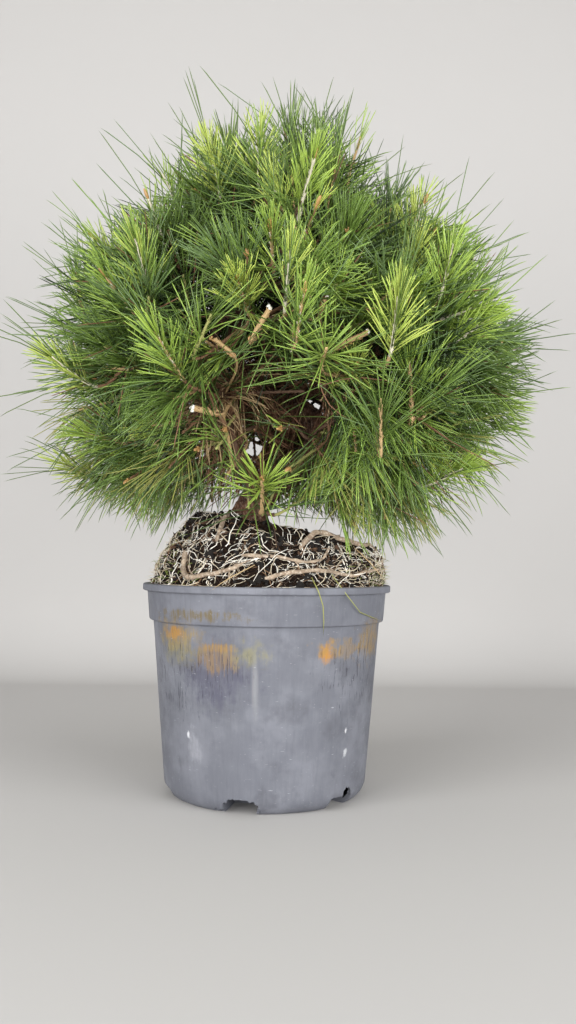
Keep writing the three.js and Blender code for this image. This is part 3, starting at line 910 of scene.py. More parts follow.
        ends = 0.5 + np.abs(places[:, 2] / self.height - 0.45)
        wall = np.minimum(1, np.hypot(places[:, 0], places[:, 1]) / 60)
        push = self.dent * (swell(2.2, 70) + 0.35 * swell(7.0, 24)) * ends * wall
        places += outwards * np.minimum(push, 0.25)[:, None]
        move_to(mesh, places)

    def build(self, finish: Material) -> Object:
        """Turns, dents and cuts the pot.

        Args:
            finish: Its material.

        Returns:
            The pot.
        """
        bm = bmesh.new()
        self.section(bm)
        turn_round(bm, self.sides)
        shell = finished_mesh("pot", bm)
        self.dented(shell)
        azimuths = [self.first_drain + 360 / self.drains * i for i in range(self.drains)]
        roof, top = self.drain_roof, self.drain_height
        wide, inner = self.drain_width + 2 * roof, self.drain_inner - roof
        humps = [self.block(wide, 0.5, top + roof, inner, self.roof_end, turn) for turn in azimuths]
        outer = self.radius + 5
        cuts = [self.block(self.drain_width, -2, top, self.drain_inner, outer, turn) for turn in azimuths]
        cuts += [self.tear(azimuth, height, size, seed) for azimuth, height, *size, seed in self.tears]
        pot = self.joined(self.joined(shell, humps, "UNION"), cuts, "DIFFERENCE")
        pot.shade_smooth()
        pot.set_sharp_from_angle(angle=math.radians(32))
        return place("nursery_pot", pot, [finish], "pot", ["pot"])

    def joined(self, mesh: Mesh, others: Sequence[Mesh], operation: str) -> Mesh:
        """Joins or cuts a mesh with others.

        Args:
            mesh: The mesh to change.
            others: What is joined to it or cut from it. They are removed.
            operation: UNION or DIFFERENCE.

        Returns:
            The result.
        """
        group = bpy.data.collections.new("cutters")
        holders = [bpy.data.objects.new("cutter", other) for other in others]
        bpy.context.scene.collection.children.link(group)
        for holder in holders:
            group.objects.link(holder)
        operand = {"operand_type": "COLLECTION", "collection": group}
        result = modified(mesh, ("BOOLEAN", {"operation": operation, **operand, "solver": "EXACT"}))
        for holder, other in zip(holders, others):
            bpy.data.objects.remove(holder)
            bpy.data.meshes.remove(other)
        bpy.data.collections.remove(group)
        return result


@dataclass
class Mound:
    """The shape of the root ball above the rim, slumped to the right, with its lumps."""

    foot_radius: float = 87.9
    foot_height: float = 156
    top_centre: float = 13
    top_radius: float = 66
    top_height: float = 200
    top_slope: float = -0.19
    shoulder: float = 4
    middle: tuple[float, float] = (-15, -4)  # where the trunk stands
    lump: float = 11  # millimetres across
    lump_relief: float = 2.6
    crumb: float = 2.9
    crumb_relief: float = 1.5

    def top(self, x: np.ndarray | float) -> np.ndarray | float:
        """Returns the top's height at a place across."""
        return self.top_height + self.top_slope * x

    def point(self, azimuth: np.ndarray, level: np.ndarray, proud: np.ndarray | float = 0.0) -> np.ndarray:
        """Finds points on the mound.

        Args:
            azimuth: In degrees.
            level: 0 at the rim, 1 at the top's edge and 2 at the trunk.
            proud: How far out of the surface.

        Returns:
            The points, one row each.
        """
        azimuth, level, proud = np.broadcast_arrays(np.asarray(azimuth, float), level, proud)
        foot = polar(self.foot_radius + proud, azimuth, self.foot_height)
        edge = polar(self.top_radius + proud, azimuth, 0.0)
        edge[..., 0] += self.top_centre
        edge[..., 2] = self.top(edge[..., 0]) + proud
        bulge = np.sin(np.pi * np.clip(level, 0, 1)) * self.shoulder
        side = lerp(foot, edge, np.clip(level, 0, 1)[..., None]) + polar(bulge, azimuth, bulge / 2)
        middle = np.zeros((*proud.shape, 3)) + [*self.middle, self.top(self.middle[0])]
        middle[..., 2] += proud
        return lerp(side, middle, np.clip(level - 1, 0, 1)[..., None])

    def relief(self, places: np.ndarray) -> np.ndarray:
        """Returns how far the lumps and crumbs stand out at places on the mound."""
        flat = places.reshape(-1, 3)
        crumbs = crumbly_noise(flat / self.crumb) - 0.5
        out = self.lump_relief * smooth_noise(flat / self.lump) + self.crumb_relief * crumbs
        return out.reshape(places.shape[:-1])

    def rough_point(
        self, azimuth: np.ndarray, level: np.ndarray, proud: np.ndarray | float = 0.0
    ) -> np.ndarray:
        """Finds points on the lumpy surface, or proud of it."""
        return self.point(azimuth, level, self.relief(self.point(azimuth, level)) + proud)

    def clear(self, places: np.ndarray, room: float, rim: float) -> np.ndarray:
        """Tells which places are clear of the mound and the pot.

        Args:
            places: One row each.
            room: What they keep above the mound.
            rim: The pot's lip radius.

        Returns:
            True for each that is clear.
        """
        off = np.hypot(places[..., 0] - self.top_centre * 0.5, places[..., 1])
        slope = self.top(places[..., 0]) - np.maximum(0, off - self.top_radius) * 1.6
        above = places[..., 2] > np.maximum(slope, self.foot_height) + room
        return above | (np.hypot(places[..., 0], places[..., 1]) > rim + room)


@dataclass
class RootBall:
    """Peat in the pot and proud of it, with crumbs, chips, moss and thousands of fine roots."""

    mound: Mound
    columns: int = 320
    rows: int = 96
    depth: float = 22  # how far the peat is modelled below the rim, to above the band's foot
    draft: float = 2.2  # how much narrower it is there
    crumbs: int = 2600
    rootlets: int = 1250
    rootlet_points: int = 7
    crest: float = 0.8  # the level above which fewer fine roots lie bare
    on_crest: float = 0.4  # their share there
    moss: int = 500
    face_share: float = 0.62  # share of the fine roots that start in the mound's face
    face: float = 48  # millimetres from the rim up to the top's edge
    crumb_spread: float = 0.42  # of the crumbs' sizes
    chip_share: float = 0.16
    chip_shape: tuple[float, float, float] = (1.5, 0.5, 2.4)
    damp: tuple[tuple[float, float], ...] = ((72, 16), (-66, 13))  # azimuths of the moss, and their spread
    damp_share: float = 0.62  # of the moss at the first of them
    moss_length: tuple[float, float] = (3, 8)
    moss_radii: tuple[float, float, float] = (0.28, 0.24, 0.18)
    tone_shares: tuple[float, ...] = (0.46, 0.3, 0.14, 0.1)

    SEEDS = {"fibres": 11, "litter": 12}

    def peat(self, finish: Material) -> Object:
        """Builds the peat's lumpy surface, closed below the rim.

        Args:
            finish: Its material.

        Returns:
            The peat.
        """
        bm = bmesh.new()
        levels = [-1, -0.5, *np.linspace(-0.1, 2, self.rows)]
        line = [bm.verts.new((1, 0, level)) for level in levels]
        for pair in zip(line, line[1:]):
            bm.edges.new(pair)
        turn_round(bm, self.columns)
        corners = np.array([corner.co[:] for corner in bm.verts])
        azimuth, level = np.degrees(np.arctan2(corners[:, 0], -corners[:, 1])), corners[:, 2]
        places = self.mound.rough_point(azimuth, level)
        below = level < 0
        drop = np.clip(-level[below] * 2, 0, 1)
        radius = (self.mound.foot_radius - self.draft * drop) * np.clip(2 + 2 * level[below], 0, 1)
        places[below] = polar(radius, azimuth[below], self.mound.foot_height - self.depth * drop)
        for corner, spot in zip(bm.verts, places):
            corner.co = spot
        mesh = finished_mesh("peat", bm)
        mesh.shade_smooth()
        return place("root_ball_peat", mesh, [finish], "soil", ["root_ball"])

    def wander(
        self, draw: np.random.Generator, count: int, step: tuple[float, float], turn: float, points: int
    ) -> tuple[np.ndarray, np.ndarray]:
        """Lets lines wander over the mound.

        Args:
            draw: Where the random numbers come from.
            count: How many lines.
            step: Shortest and longest step.
            turn: How much they turn at each step, in degrees.
            points: Points on each line.

        Returns:
            Azimuth and level of each line's points.
        """
        azimuth, level = draw.uniform(-180, 180, count), 2 - 2 * np.sqrt(draw.uniform(0.0, 1.0, count))
        low = draw.random(count) < self.face_share
        level = np.where(low, draw.uniform(0.0, 1.05, count), level)
        way, bias = draw.uniform(0, 2 * np.pi, count), draw.normal(0, turn * 0.7, count)
        stride = draw.uniform(*step, count)
        track = []
        for _ in range(points):
            track.append((azimuth, level))
            around = lerp(self.mound.foot_radius, self.mound.top_radius, np.clip(level, 0, 1))
            around = around * np.clip(2.05 - level, 0.15, 1)
            up = np.where(level < 1, 1 / self.face, 1 / self.mound.top_radius)
            azimuth = azimuth + np.degrees(np.cos(way) * stride / around)
            level = np.clip(level + np.sin(way) * stride * up, -0.04, 1.9)
            way = way + np.radians(bias + draw.normal(0, turn, count))
        azimuths, levels = zip(*track)
        return np.stack(azimuths, axis=1), np.stack(levels, axis=1)

    def fibres(self, finishes: Sequence[Material]) -> None:
        """Lays the fine roots over the peat, in two pieces.

        Args:
            finishes: The fine roots' materials.
        """
        draw = np.random.default_rng(self.SEEDS["fibres"])
        kinds = [
            ("rootlets_fine", self.rootlets, (1.6, 4.8), 26, (0.2, 0.36), 0.8),
            ("rootlets_stout", self.rootlets // 5, (3.0, 8.0), 20, (0.36, 0.62), 1.2),
        ]
        for name, count, step, turn, radius, lift in kinds:
            azimuth, level = self.wander(draw, count, step, turn, self.rootlet_points)
            share = np.linspace(0, 1, self.rootlet_points)
            height = draw.exponential(lift, (count, 1)) * np.sin(np.pi * share)
            height = height + draw.normal(0.1, 0.3, azimuth.shape)
            thick = draw.uniform(*radius, (count, 1)) * lerp(1.0, 0.55, share[:-1])
            lines = self.mound.rough_point(azimuth, level, height)
            tones = draw.choice(len(self.tone_shares), count, p=self.tone_shares)
            shown = (level.mean(axis=1) < self.crest) | (draw.random(count) < self.on_crest)
            lines, thick, tones = lines[shown], thick[shown], tones[shown]
            bundle = Bundle()
            bundle.tubes(lines, thick, 3, tones)
            bundle.piece(name, finishes, "roots")

    def litter(self, finishes: Sequence[Material]) -> Object:
        """Strews crumbs of peat, bark chips and moss over the mound.

        Args:
            finishes: The fine roots' and the peat's materials.

        Returns:
            The joined piece.
        """
        draw = np.random.default_rng(self.SEEDS["litter"])
        bundle = Bundle()
        azimuth, level = self.wander(draw, self.crumbs, (1, 2), 20, 1)
        spots = self.mound.rough_point(azimuth[:, 0], level[:, 0], 0.1)
        sizes = draw.lognormal(0.0, self.crumb_spread, (self.crumbs, 1))
        sizes = sizes * draw.uniform(0.6, 1.3, (self.crumbs, 3))
        chips = draw.random(self.crumbs) < self.chip_share
        sizes = np.where(chips[:, None], sizes * self.chip_shape, sizes)
        tones = np.where(chips, slot_of(Fibre.CHIP), slot_of(Fibre.PEAT))
        bundle.lumps(spots, unit(draw.normal(size=(self.crumbs, 3))), sizes, tones, rough=0.28)
        # Moss and grassy roots grow where the mound stays damp, low on the right and on the left
        side = draw.random(self.moss) < self.damp_share
        azimuth = np.where(side, *(draw.normal(*spot, self.moss) for spot in self.damp))
        level = np.abs(draw.normal(0, 0.32, self.moss))
        foot = self.mound.rough_point(azimuth, np.clip(level, 0, 1.3), -0.3)
        outwards = unit(foot * [1, 1, 0])
        way = unit(outwards + draw.normal(0, 0.7, (self.moss, 3)) + UP * 0.9)
        length = draw.uniform(*self.moss_length, (self.moss, 1))
        bend = draw.normal(0, 0.3, (self.moss, 3)) - UP * 0.25
        lines = np.stack([foot + length * (way * s + bend * s * s) for s in (0, 0.35, 0.7, 1)], axis=1)
        tones = draw.choice([slot_of(Fibre.MOSS), slot_of(Fibre.SAND)], self.moss, p=[0.45, 0.55])
        bundle.tubes(lines, np.tile(self.moss_radii, (self.moss, 1)), 3, tones)
        return bundle.piece("peat_crumbs_and_moss", finishes, "soil")


@dataclass
class SurfaceRoots:
    """The thick roots that lie in the mound's face, each with knuckles and side roots."""

    mound: Mound
    sides: int = 14
    knuckle: float = 0.14  # of the radius
    side_step: tuple[float, float] = (6.5, 0.13)  # of a side root, in degrees round and in level
    stations: dict[str, tuple[float, tuple[tuple[float, float], ...]]] = field(
        default_factory=lambda: {
            "root_lower_left": (2.3, ((-50, 0.42), (-43, 0.14), (-33, 0.12), (-20, 0.22), (-14, 0.3))),
            "root_long_front": (1.6, ((-16, 0.42), (0, 0.44), (14, 0.4), (23, 0.46), (26, 0.72))),
            "root_low_front": (
                1.8, ((-2, 0.13), (10, 0.22), (24, 0.27), (40, 0.2), (54, 0.3), (68, 0.36)),
            ),
            "root_top_right": (
                2.2, (
                    (10, 0.62), (16, 0.92), (24, 1.05), (38, 0.93),
                    (54, 0.92), (74, 0.96), (82, 0.62), (84, 0.3),
                ),
            ),
            "root_upper_left": (2.2, ((-34, 1.25), (-38, 0.98), (-36, 0.78), (-33, 0.58))),
            "root_back": (2.7, ((128, 0.3), (146, 0.5), (164, 0.42), (182, 0.62), (196, 0.92), (204, 1.3))),
            "root_left": (2.4, ((-84, 0.18), (-98, 0.36), (-112, 0.55), (-122, 0.9), (-124, 1.25))),
        }
    )

    SEED = 60

    def build(self, finish: Material) -> Object:
        """Grows the roots.

        Args:
            finish: Their material.

        Returns:
            The joined piece.
        """
        bm = bmesh.new()
        for index, (radius, stations) in enumerate(self.stations.values()):
            draw = np.random.default_rng(self.SEED + index)
            azimuth, level = np.array(stations, float).T
            curve = Curve(self.mound.point(azimuth, level, 0.25 * radius + 0.6))
            share = np.linspace(0, 1, max(12, round(curve.length / 1.6)))
            thick = radius * lerp(1.0, 0.65, share)
            uneven = smooth_noise(share[:, None] * [curve.length / 7, 0, 0] + [0, index * 9, 0])
            ends = np.minimum(1, 14 * np.minimum(share + 0.02, 1.02 - share)) ** 0.5
            line = curve.at(share)
            wobble = draw.normal(0, 0.35, line.shape)
            wobble = np.apply_along_axis(lambda row: np.convolve(row, np.ones(5) / 5, "same"), 0, wobble)
            grow_limb(bm, line + wobble * 2, thick * ends * (1 + self.knuckle * 2 * uneven), self.sides)
            for fork in draw.uniform(0.12, 0.9, 3):
                self.side_root(bm, draw, curve.at(fork), azimuth, level, radius, fork)
        mesh = finished_mesh("surface_roots", bm)
        places = places_of(mesh)
        out = crumbly_noise(places / 2.4) - 0.5
        move_to(mesh, places + normals_of(mesh) * out[:, None] * 0.45)
        mesh.shade_smooth()
        return place("surface_roots", mesh, [finish], "roots", list(self.stations))

    def side_root(
        self, bm: bmesh.types.BMesh, draw: np.random.Generator, foot: np.ndarray,
        azimuth: np.ndarray, level: np.ndarray, radius: float, fork: float,
    ) -> None:
        """Grows a thin root from the side of a thick one.

        Args:
            bm: The bmesh that it is added to.
            draw: Where the random numbers come from.
            foot: Where it leaves the thick root.
            azimuth: The thick root's azimuths.
            level: Its levels.
            radius: Its radius.
            fork: The share of its length at the foot.
        """
        marks = np.linspace(0, 1, len(azimuth))
        start = np.array([np.interp(fork, marks, azimuth), np.interp(fork, marks, level)])
        way = draw.uniform(0, 2 * np.pi)
        spots = [foot]
        for _ in range(4):
            way += draw.normal(0, 0.5)
            start = start + [np.cos(way) * self.side_step[0], np.sin(way) * self.side_step[1]]
            spots.append(self.mound.rough_point(start[0], np.clip(start[1], -0.03, 1.8), 0.4))
        curve = Curve(spots)
        share = np.linspace(0, 1, max(8, round(curve.length / 2)))
        grow_limb(bm, curve.at(share), radius * lerp(0.42, 0.12, share), 8)


@dataclass(frozen=True)
class CrownShape:
    """The crown's outline: a dome with wide shoulders over a shallower bowl."""

    centre: tuple[float, float, float] = (13, 0, 325)
    half_width: float = 213
    half_depth: float = 208
    rise: float = 238
    fall: float = 180
    shoulder: float = 1.6
    point: float = 0.83
    lowest: float = -42

    def reach(self, directions: np.ndarray) -> np.ndarray:
        """Measures how far the crown reaches from its centre.

        Args:
            directions: Unit vectors, one row each.

        Returns:
            The distance along each.
        """
        spread = np.hypot(directions[..., 0] / self.half_width, directions[..., 1] / self.half_depth)
        above = directions[..., 2] > 0
        climb = np.abs(directions[..., 2]) / np.where(above, self.rise, self.fall)
        near, far = np.zeros_like(spread), np.full_like(spread, self.rise + self.fall)
        for _ in range(22):
            middle = (near + far) / 2
            up = np.minimum(1, climb * middle)
            width = np.where(above, (1 - up**self.shoulder) ** self.point, np.sqrt(1 - up * up))
            inside = spread * middle < width
            near, far = np.where(inside, middle, near), np.where(inside, far, middle)
        return near

    def out(self, direction: np.ndarray, distance: float) -> np.ndarray:
        """Returns the point at a distance from the centre along a direction."""
        return np.array(self.centre) + direction * distance


class Growth(Enum):
    """How a shoot has grown, which sets the look of its spray."""

    BRUSH = auto()
    CANDLE = auto()
    STAR = auto()
    HANGING = auto()
    SIDE = auto()
    INNER = auto()
    DEAD = auto()


@dataclass(frozen=True)
class Layer:
    """One year's needles on a shoot. Each pair is a value at the zone's foot and at its tip."""

    pairs: int
    zone: tuple[float, float]  # millimetres back from the shoot's tip
    length: tuple[float, float]
    spread: tuple[float, float]  # degrees from the shoot
    tones: tuple[Tone, ...]
    sag: float = 0.06
    scatter: float = 9.0
    radius: float = 0.41
    airy: float = 0.76  # share of the needles that end short of the crown's lobed outline


OLD_GREENS = (Tone.LEAF, Tone.DEEP, Tone.GREEN, Tone.BLUISH, Tone.LEAF)
WISPS = Layer(7, (60, 4), (82, 66), (62, 16), (Tone.LEAF, Tone.BLUISH, Tone.GREEN), 0.14, 22, 0.38, 0.0)
FORMS = {
    Growth.BRUSH: (
        Layer(27, (26, 0), (46, 34), (52, 14), (Tone.GREEN, Tone.SPRING, Tone.LEAF, Tone.BRIGHT)),
        Layer(22, (56, 24), (64, 54), (72, 44), OLD_GREENS, 0.1, 14),
        WISPS,
    ),
    Growth.CANDLE: (
        Layer(42, (36, 0), (34, 23), (52, 12), (Tone.FRESH, Tone.BRIGHT, Tone.SPRING), 0.02, 8),
        Layer(20, (68, 38), (60, 50), (72, 42), OLD_GREENS, 0.1, 14),
        WISPS,
    ),
    Growth.STAR: (
        Layer(36, (18, 0), (36, 24), (84, 30), (Tone.BRIGHT, Tone.SPRING, Tone.GREEN), 0.02, 11, 0.42),
        Layer(18, (46, 14), (58, 50), (80, 60), OLD_GREENS, 0.1, 14),
    ),
    Growth.HANGING: (
        Layer(22, (26, 0), (54, 44), (46, 16), (Tone.GREEN, Tone.SPRING, Tone.OLIVE), 0.2),
        Layer(22, (58, 26), (68, 58), (62, 40), OLD_GREENS, 0.34, 14),
        WISPS,
    ),
    Growth.SIDE: (
        Layer(20, (22, 0), (44, 34), (54, 16), (Tone.GREEN, Tone.LEAF, Tone.SPRING, Tone.BLUISH)),
        Layer(16, (46, 20), (60, 50), (72, 46), OLD_GREENS, 0.1, 14),
    ),
    # Painted shade: the inner shoots' needles are coloured near black to stand in for the shade inside the
    # crown
    Growth.INNER: (Layer(24, (40, 0), (62, 52), (76, 34), (Tone.PAINTED_SHADE, Tone.DEEP, Tone.PAINTED_SHADE), 0.12, 16),),
    Growth.DEAD: (Layer(28, (26, 0), (52, 38), (84, 50), (Tone.RUST, Tone.STRAW, Tone.RUST), 0.3, 18),),
}


@dataclass
class Shoot:
    """A shoot: where its tip is, which way it points, and how it has grown."""

    axis: np.ndarray
    tip: np.ndarray
    length: float
    growth: Growth
    seed: int
    stem: Curve | None = None

    @property
    def foot(self) -> np.ndarray:
        """Returns where the shoot's own wood starts."""
        return self.tip - self.axis * self.length


@dataclass
class Mass:
    """A mass of foliage: its seat in the crown and the shoots that grow in it."""

    name: str
    direction: np.ndarray
    leaves: float
    stem_foot: np.ndarray
    hub: np.ndarray
    middle: np.ndarray
    shoots: list[Shoot] = field(default_factory=list)


def off_lines(starts: np.ndarray, ends: np.ndarray, places: np.ndarray) -> np.ndarray:
    """Measures how far places are from straight links.

    Args:
        starts: The links' starts, one row each.
        ends: Their ends.
        places: The places, one row each.

    Returns:
        The distances, as (place, link).
    """
    spans = ends - starts
    share = ((places[:, None] - starts) * spans).sum(-1) / np.maximum((spans**2).sum(-1), 1e-9)
    nearest = starts + np.clip(share, 0, 1)[..., None] * spans
    return np.linalg.norm(places[:, None] - nearest, axis=-1)


@dataclass
class Wooden:
    """The trunk and the boughs: their lines and radii."""

    foot_radius: float = 13.5
    tip_radius: float = 3.6
    taper: float = 0.85
    flare: float = 4.5
    flare_height: float = 26
    lobe_depth: float = 0.6
    bough_highest: float = 0.985
    bough_radius: tuple[float, float] = (5.4, 3.9)
    bough_tip: float = 2.9
    bough_arch: float = 0.1
    voxel: float = 1.0
    skin: float = 0.4  # how far under the solid's surface the bark's relief starts on the trunk
    collar: float = 0.5  # how much thicker a bough is where it leaves the trunk
    collar_length: float = 9
    full_relief: float = 11  # the radius from which the bark's relief is at its full height
    plate: tuple[float, float] = (5.2, 9.5)  # a bark plate's width and height
    plate_relief: float = 1.15
    scale: float = 1.9
    scale_relief: float = 0.55
    lump: float = 14
    lump_relief: float = 0.9
    link_counts: tuple[int, int] = (24, 6)  # straight links that stand for the trunk and for a bough
    trunk: Curve = field(
        default_factory=lambda: Curve(
            [
                (-15, -4, 199), (-14, -4, 208), (-9, -5, 219), (4, -8, 233), (26, -9, 249), (40, -6, 269),
                (29, 0, 288), (2, 5, 302), (-22, 6, 320), (-30, 2, 345), (-20, -3, 373), (-2, -2, 400),
                (5, 2, 422), (2, 3, 438),
            ]
        )
    )
    boughs: dict[str, tuple[Curve, float]] = field(default_factory=dict)

    def trunk_radius(self, share: np.ndarray) -> np.ndarray:
        """Returns the trunk's radius at a share of its length."""
        plain = lerp(self.foot_radius, self.tip_radius, share**self.taper)
        flare = self.flare * np.maximum(0, 1 - share * self.trunk.length / self.flare_height) ** 2
        return plain + flare * (1 + self.lobe_depth)

    def add_bough(self, mass: Mass) -> None:
        """Grows the bough that carries a mass."""
        foot = self.trunk.at(mass.leaves * self.bough_highest)
        lead = mass.stem_foot - foot
        bend = foot + lead * 0.45 + UP * self.bough_arch * np.linalg.norm(lead)
        end = mass.stem_foot - mass.direction * GAP
        self.boughs[mass.name] = (Curve([foot, bend, end]), lerp(*self.bough_radius, mass.leaves))

    def links(self) -> tuple[np.ndarray, np.ndarray, np.ndarray]:
        """Returns every limb as short links: their starts, ends and radii."""
        starts, ends, radii = [], [], []
        along, out = (np.arange(count) / count for count in self.link_counts)
        limbs = [(self.trunk, self.trunk_radius(along))]
        limbs += [(curve, lerp(radius, self.bough_tip, out)) for curve, radius in self.boughs.values()]
        for curve, thick in limbs:
            points = curve.at(np.linspace(0, 1, len(thick) + 1))
            starts.append(points[:-1])
            ends.append(points[1:])
            radii.append(thick)
        return np.concatenate(starts), np.concatenate(ends), np.concatenate(radii)

    def build(self, finish: Material) -> Object:
        """Grows the trunk and the boughs as one skin and gives it the bark's relief.

        Args:
            finish: The bark.

        Returns:
            The joined limbs.
        """
        bm = bmesh.new()
        share = np.linspace(0, 1, 70)
        grow_limb(bm, self.trunk.at(share), self.trunk_radius(share) - self.skin, 28)
        for curve, radius in self.boughs.values():
            share = np.linspace(0, 1, 26)
            collar = 1 + self.collar * np.exp(-share * curve.length / self.collar_length)
            grow_limb(bm, curve.at(share), lerp(radius, self.bough_tip, share) * collar, 14)
        limbs = finished_mesh("limbs", bm)
        limbs = modified(limbs, ("REMESH", {"mode": "VOXEL", "voxel_size": self.voxel * MM}))
        starts, _, radii = self.links()
        tree = KDTree(len(starts))
        for index, start in enumerate(starts):
            tree.insert(Vector(start), index)
        tree.balance()
        places = places_of(limbs)
        thick = np.array([radii[tree.find(Vector(spot))[1]] for spot in places])
        relief = np.array([self.bark(Vector(spot)) for spot in places])
        push = relief * np.clip(thick / self.full_relief, 0.28, 1)
        foot = places[:, 2] < self.trunk.line[0, 2] + 0.6
        move_to(limbs, places + normals_of(limbs) * np.where(foot, 0, push)[:, None])
        limbs.shade_smooth()
        names = ["trunk", *(f"bough_{name}" for name in self.boughs)]
        return place("trunk_and_boughs", limbs, [finish], "bark", names)

    def bark(self, spot: Vector) -> float:
        """Returns how far the bark stands out at a place: plates that furrows part, and fine scales."""
        width, height = self.plate
        stretched = Vector((spot.x / width, spot.y / width, spot.z / height))
        near, next_near = noise.voronoi(stretched)[0][:2]
        plate = min(1.0, (next_near - near) * 3.2)
        scales = noise.turbulence(spot / self.scale, 2, False) - 0.5
        lumps = noise.noise(spot / self.lump)
        return self.plate_relief * (plate - 0.6) + self.scale_relief * scales + self.lump_relief * lumps


@dataclass
class Crown:
    """The foliage: masses on the boughs' ends, shoots by the solids' seeded rule, and finer ones."""

    mound: Mound
    wood: Wooden
    rim: float
    shape: CrownShape = field(default_factory=CrownShape)
    seat: tuple[float, float, float] = (0.36, 0.5, 0.62)  # stem, hub and middle, as shares of the reach
    needle: float = 62
    inset_share: float = 0.74
    shoot_count: int = 92
    shoot_length: float = 44
    front_apart: float = 34
    apart: float = 17
    lift: tuple[float, float, float] = (0.15, 0.25, 0.35)  # least, its spread, and what low shoots lose
    draw_in: float = 0.15
    tries: int = 6
    window: tuple[float, float, float] = (10, -150, 262)
    window_radius: float = 46
    masses: list[Mass] = field(default_factory=list)

    TIERS = (
        ("lower", 6, -150, -20, 0.47, 0.57),
        ("middle", 7, -154.3, 9, 0.56, 0.74),
        ("upper", 5, -140, 41, 0.74, 0.95),
        ("top", 1, 0, 88, 1, 1),
    )
    # Across, up, lean to the right and turn to the viewer in degrees, and growth
    FRONT_SHOOTS = (
        (-150, 388, -14, 10, Growth.CANDLE), (-83, 398, -8, 30, Growth.CANDLE),
        (-20, 400, -20, 25, Growth.CANDLE), (22, 420, 15, 25, Growth.CANDLE),
        (100, 408, 4, 20, Growth.CANDLE), (150, 398, 28, 5, Growth.CANDLE),
        (-88, 340, -28, 35, Growth.CANDLE), (44, 340, 0, 80, Growth.STAR),
        (112, 332, 80, 40, Growth.CANDLE), (87, 300, -5, 30, Growth.BRUSH),
        (-112, 300, -62, 40, Growth.BRUSH), (-110, 250, -75, 30, Growth.CANDLE),
        (-2, 232, 12, 55, Growth.STAR), (131, 264, 60, 75, Growth.STAR),
    )
    ROOM = {"twig": 1.5, "spray": 7.4, "end": 0.6, "limb": 0.5, "mound": 6, "pot": 5}
    SEEDS = {"front": 3000, "spread": 4000, "fine": 6000}

    @property
    def inset(self) -> float:
        """Returns how far a shoot's tip lies inside the outline, which its needles then reach."""
        return self.needle * self.inset_share

    def seat_masses(self) -> None:
        """Seats each tier's masses round the crown, and grows their boughs."""
        shape = self.shape
        for tier, count, azimuth, elevation, low, high in self.TIERS:
            for i in range(count):
                stagger = (5 if i % 2 else -3) * (count > 1)
                direction = heading(azimuth + 360 / count * i, elevation + stagger)
                far = float(shape.reach(direction))
                stem, hub, middle = (shape.out(direction, far * share) for share in self.seat)
                order = (i * 3) % count / max(1, count - 1)
                name = f"{tier}_{i + 1}" if count > 1 else tier
                self.masses.append(Mass(name, direction, lerp(low, high, order), stem, hub, middle))
        top = self.masses[-1]
        top.stem_foot = self.wood.trunk.at(1.0) + self.wood.trunk.along(1.0) * GAP
        top.hub = top.stem_foot + UP * 26
        top.middle = top.hub
        for mass in self.masses[:-1]:
            self.wood.add_bough(mass)

    def nearest(self, spot: np.ndarray) -> Mass:
        """Returns the mass whose middle is nearest to a place."""
        return min(self.masses, key=lambda mass: np.linalg.norm(mass.middle - spot))

    def depth_inside(self, mass: Mass, spot: np.ndarray) -> float:
        """Returns how far a place lies inside a mass's own space."""
        own = ((spot - mass.middle) ** 2).sum()
        return min(
            (((spot - other.middle) ** 2).sum() - own) / (2 * np.linalg.norm(mass.middle - other.middle))
            for other in self.masses
            if other is not mass
        )

    def clear_of_pot(self, spot: np.ndarray) -> bool:
        """Tells whether a place is free of the pot and the mound."""
        high = spot[2] > self.mound.top(spot[0]) + self.ROOM["mound"]
        return bool(high or math.hypot(spot[0], spot[1]) > self.rim + self.ROOM["pot"])

    def keeps(self, mass: Mass, start: np.ndarray, end: np.ndarray, room: float) -> bool:
        """Tells whether a straight piece stays in its mass and off pot, mound and limbs.

        Args:
            mass: Its mass.
            start: Where it starts.
            end: Where it ends.
            room: What it keeps clear at its start and along it.

        Returns:
            True if it does.
        """
        if self.depth_inside(mass, start) <= room or self.depth_inside(mass, end) <= self.ROOM["end"]:
            return False
        if not (self.clear_of_pot(start) and self.clear_of_pot(end)):
            return False
        starts, ends, radii = self.links
        places = lerp(start, end, np.linspace(0, 1, 6)[:, None])
        return bool((off_lines(starts, ends, places) > radii + room + self.ROOM["limb"]).all())

    def front_shoot(self, index: int) -> Shoot:
        """Sets one of the shoots that stand out at the front."""
        x, z, lean, forward, growth = self.FRONT_SHOOTS[index]
        tip = self.on_front(x, z, self.inset)
        seed = self.SEEDS["front"] + index
        return Shoot(leaning(lean, forward), tip, self.shoot_length, growth, seed)

    def on_front(self, x: float, z: float, inset: float) -> np.ndarray:
        """Finds the place at the front of the crown, as deep as given inside its outline.

        Args:
            x: How far across.
            z: How high.
            inset: How deep.

        Returns:
            The place.
        """
        spot = np.array([x, -self.shape.half_depth, z], float)
        while spot[1] < 0:
            ray = spot - self.shape.centre
            if np.linalg.norm(ray) <= self.shape.reach(unit(ray)) - inset:
                break
            spot[1] += 2
        return spot

    def spread_shoot(self, index: int) -> Shoot:
        """Sets one of the shoots that are spread evenly over the crown."""
        draw = Draws(self.SEEDS["spread"] + index)
        elevation = math.degrees(math.asin(1 - 2 * (index + 0.5) / self.shoot_count))
        direction = heading(index * GOLDEN_ANGLE, elevation)
        least, more, droop = self.lift
        lift = least + more * draw() - (droop if elevation < -10 else 0)
        axis = unit(direction + UP * lift)
        tip = self.shape.out(direction, float(self.shape.reach(direction)) - self.inset - 5 * draw())
        length = self.shoot_length * (0.85 + 0.3 * draw())
        growth = Growth.HANGING if elevation < -12 else Growth.CANDLE if draw() < 0.4 else Growth.BRUSH
        return Shoot(axis, tip, length, growth, self.SEEDS["spread"] + index)

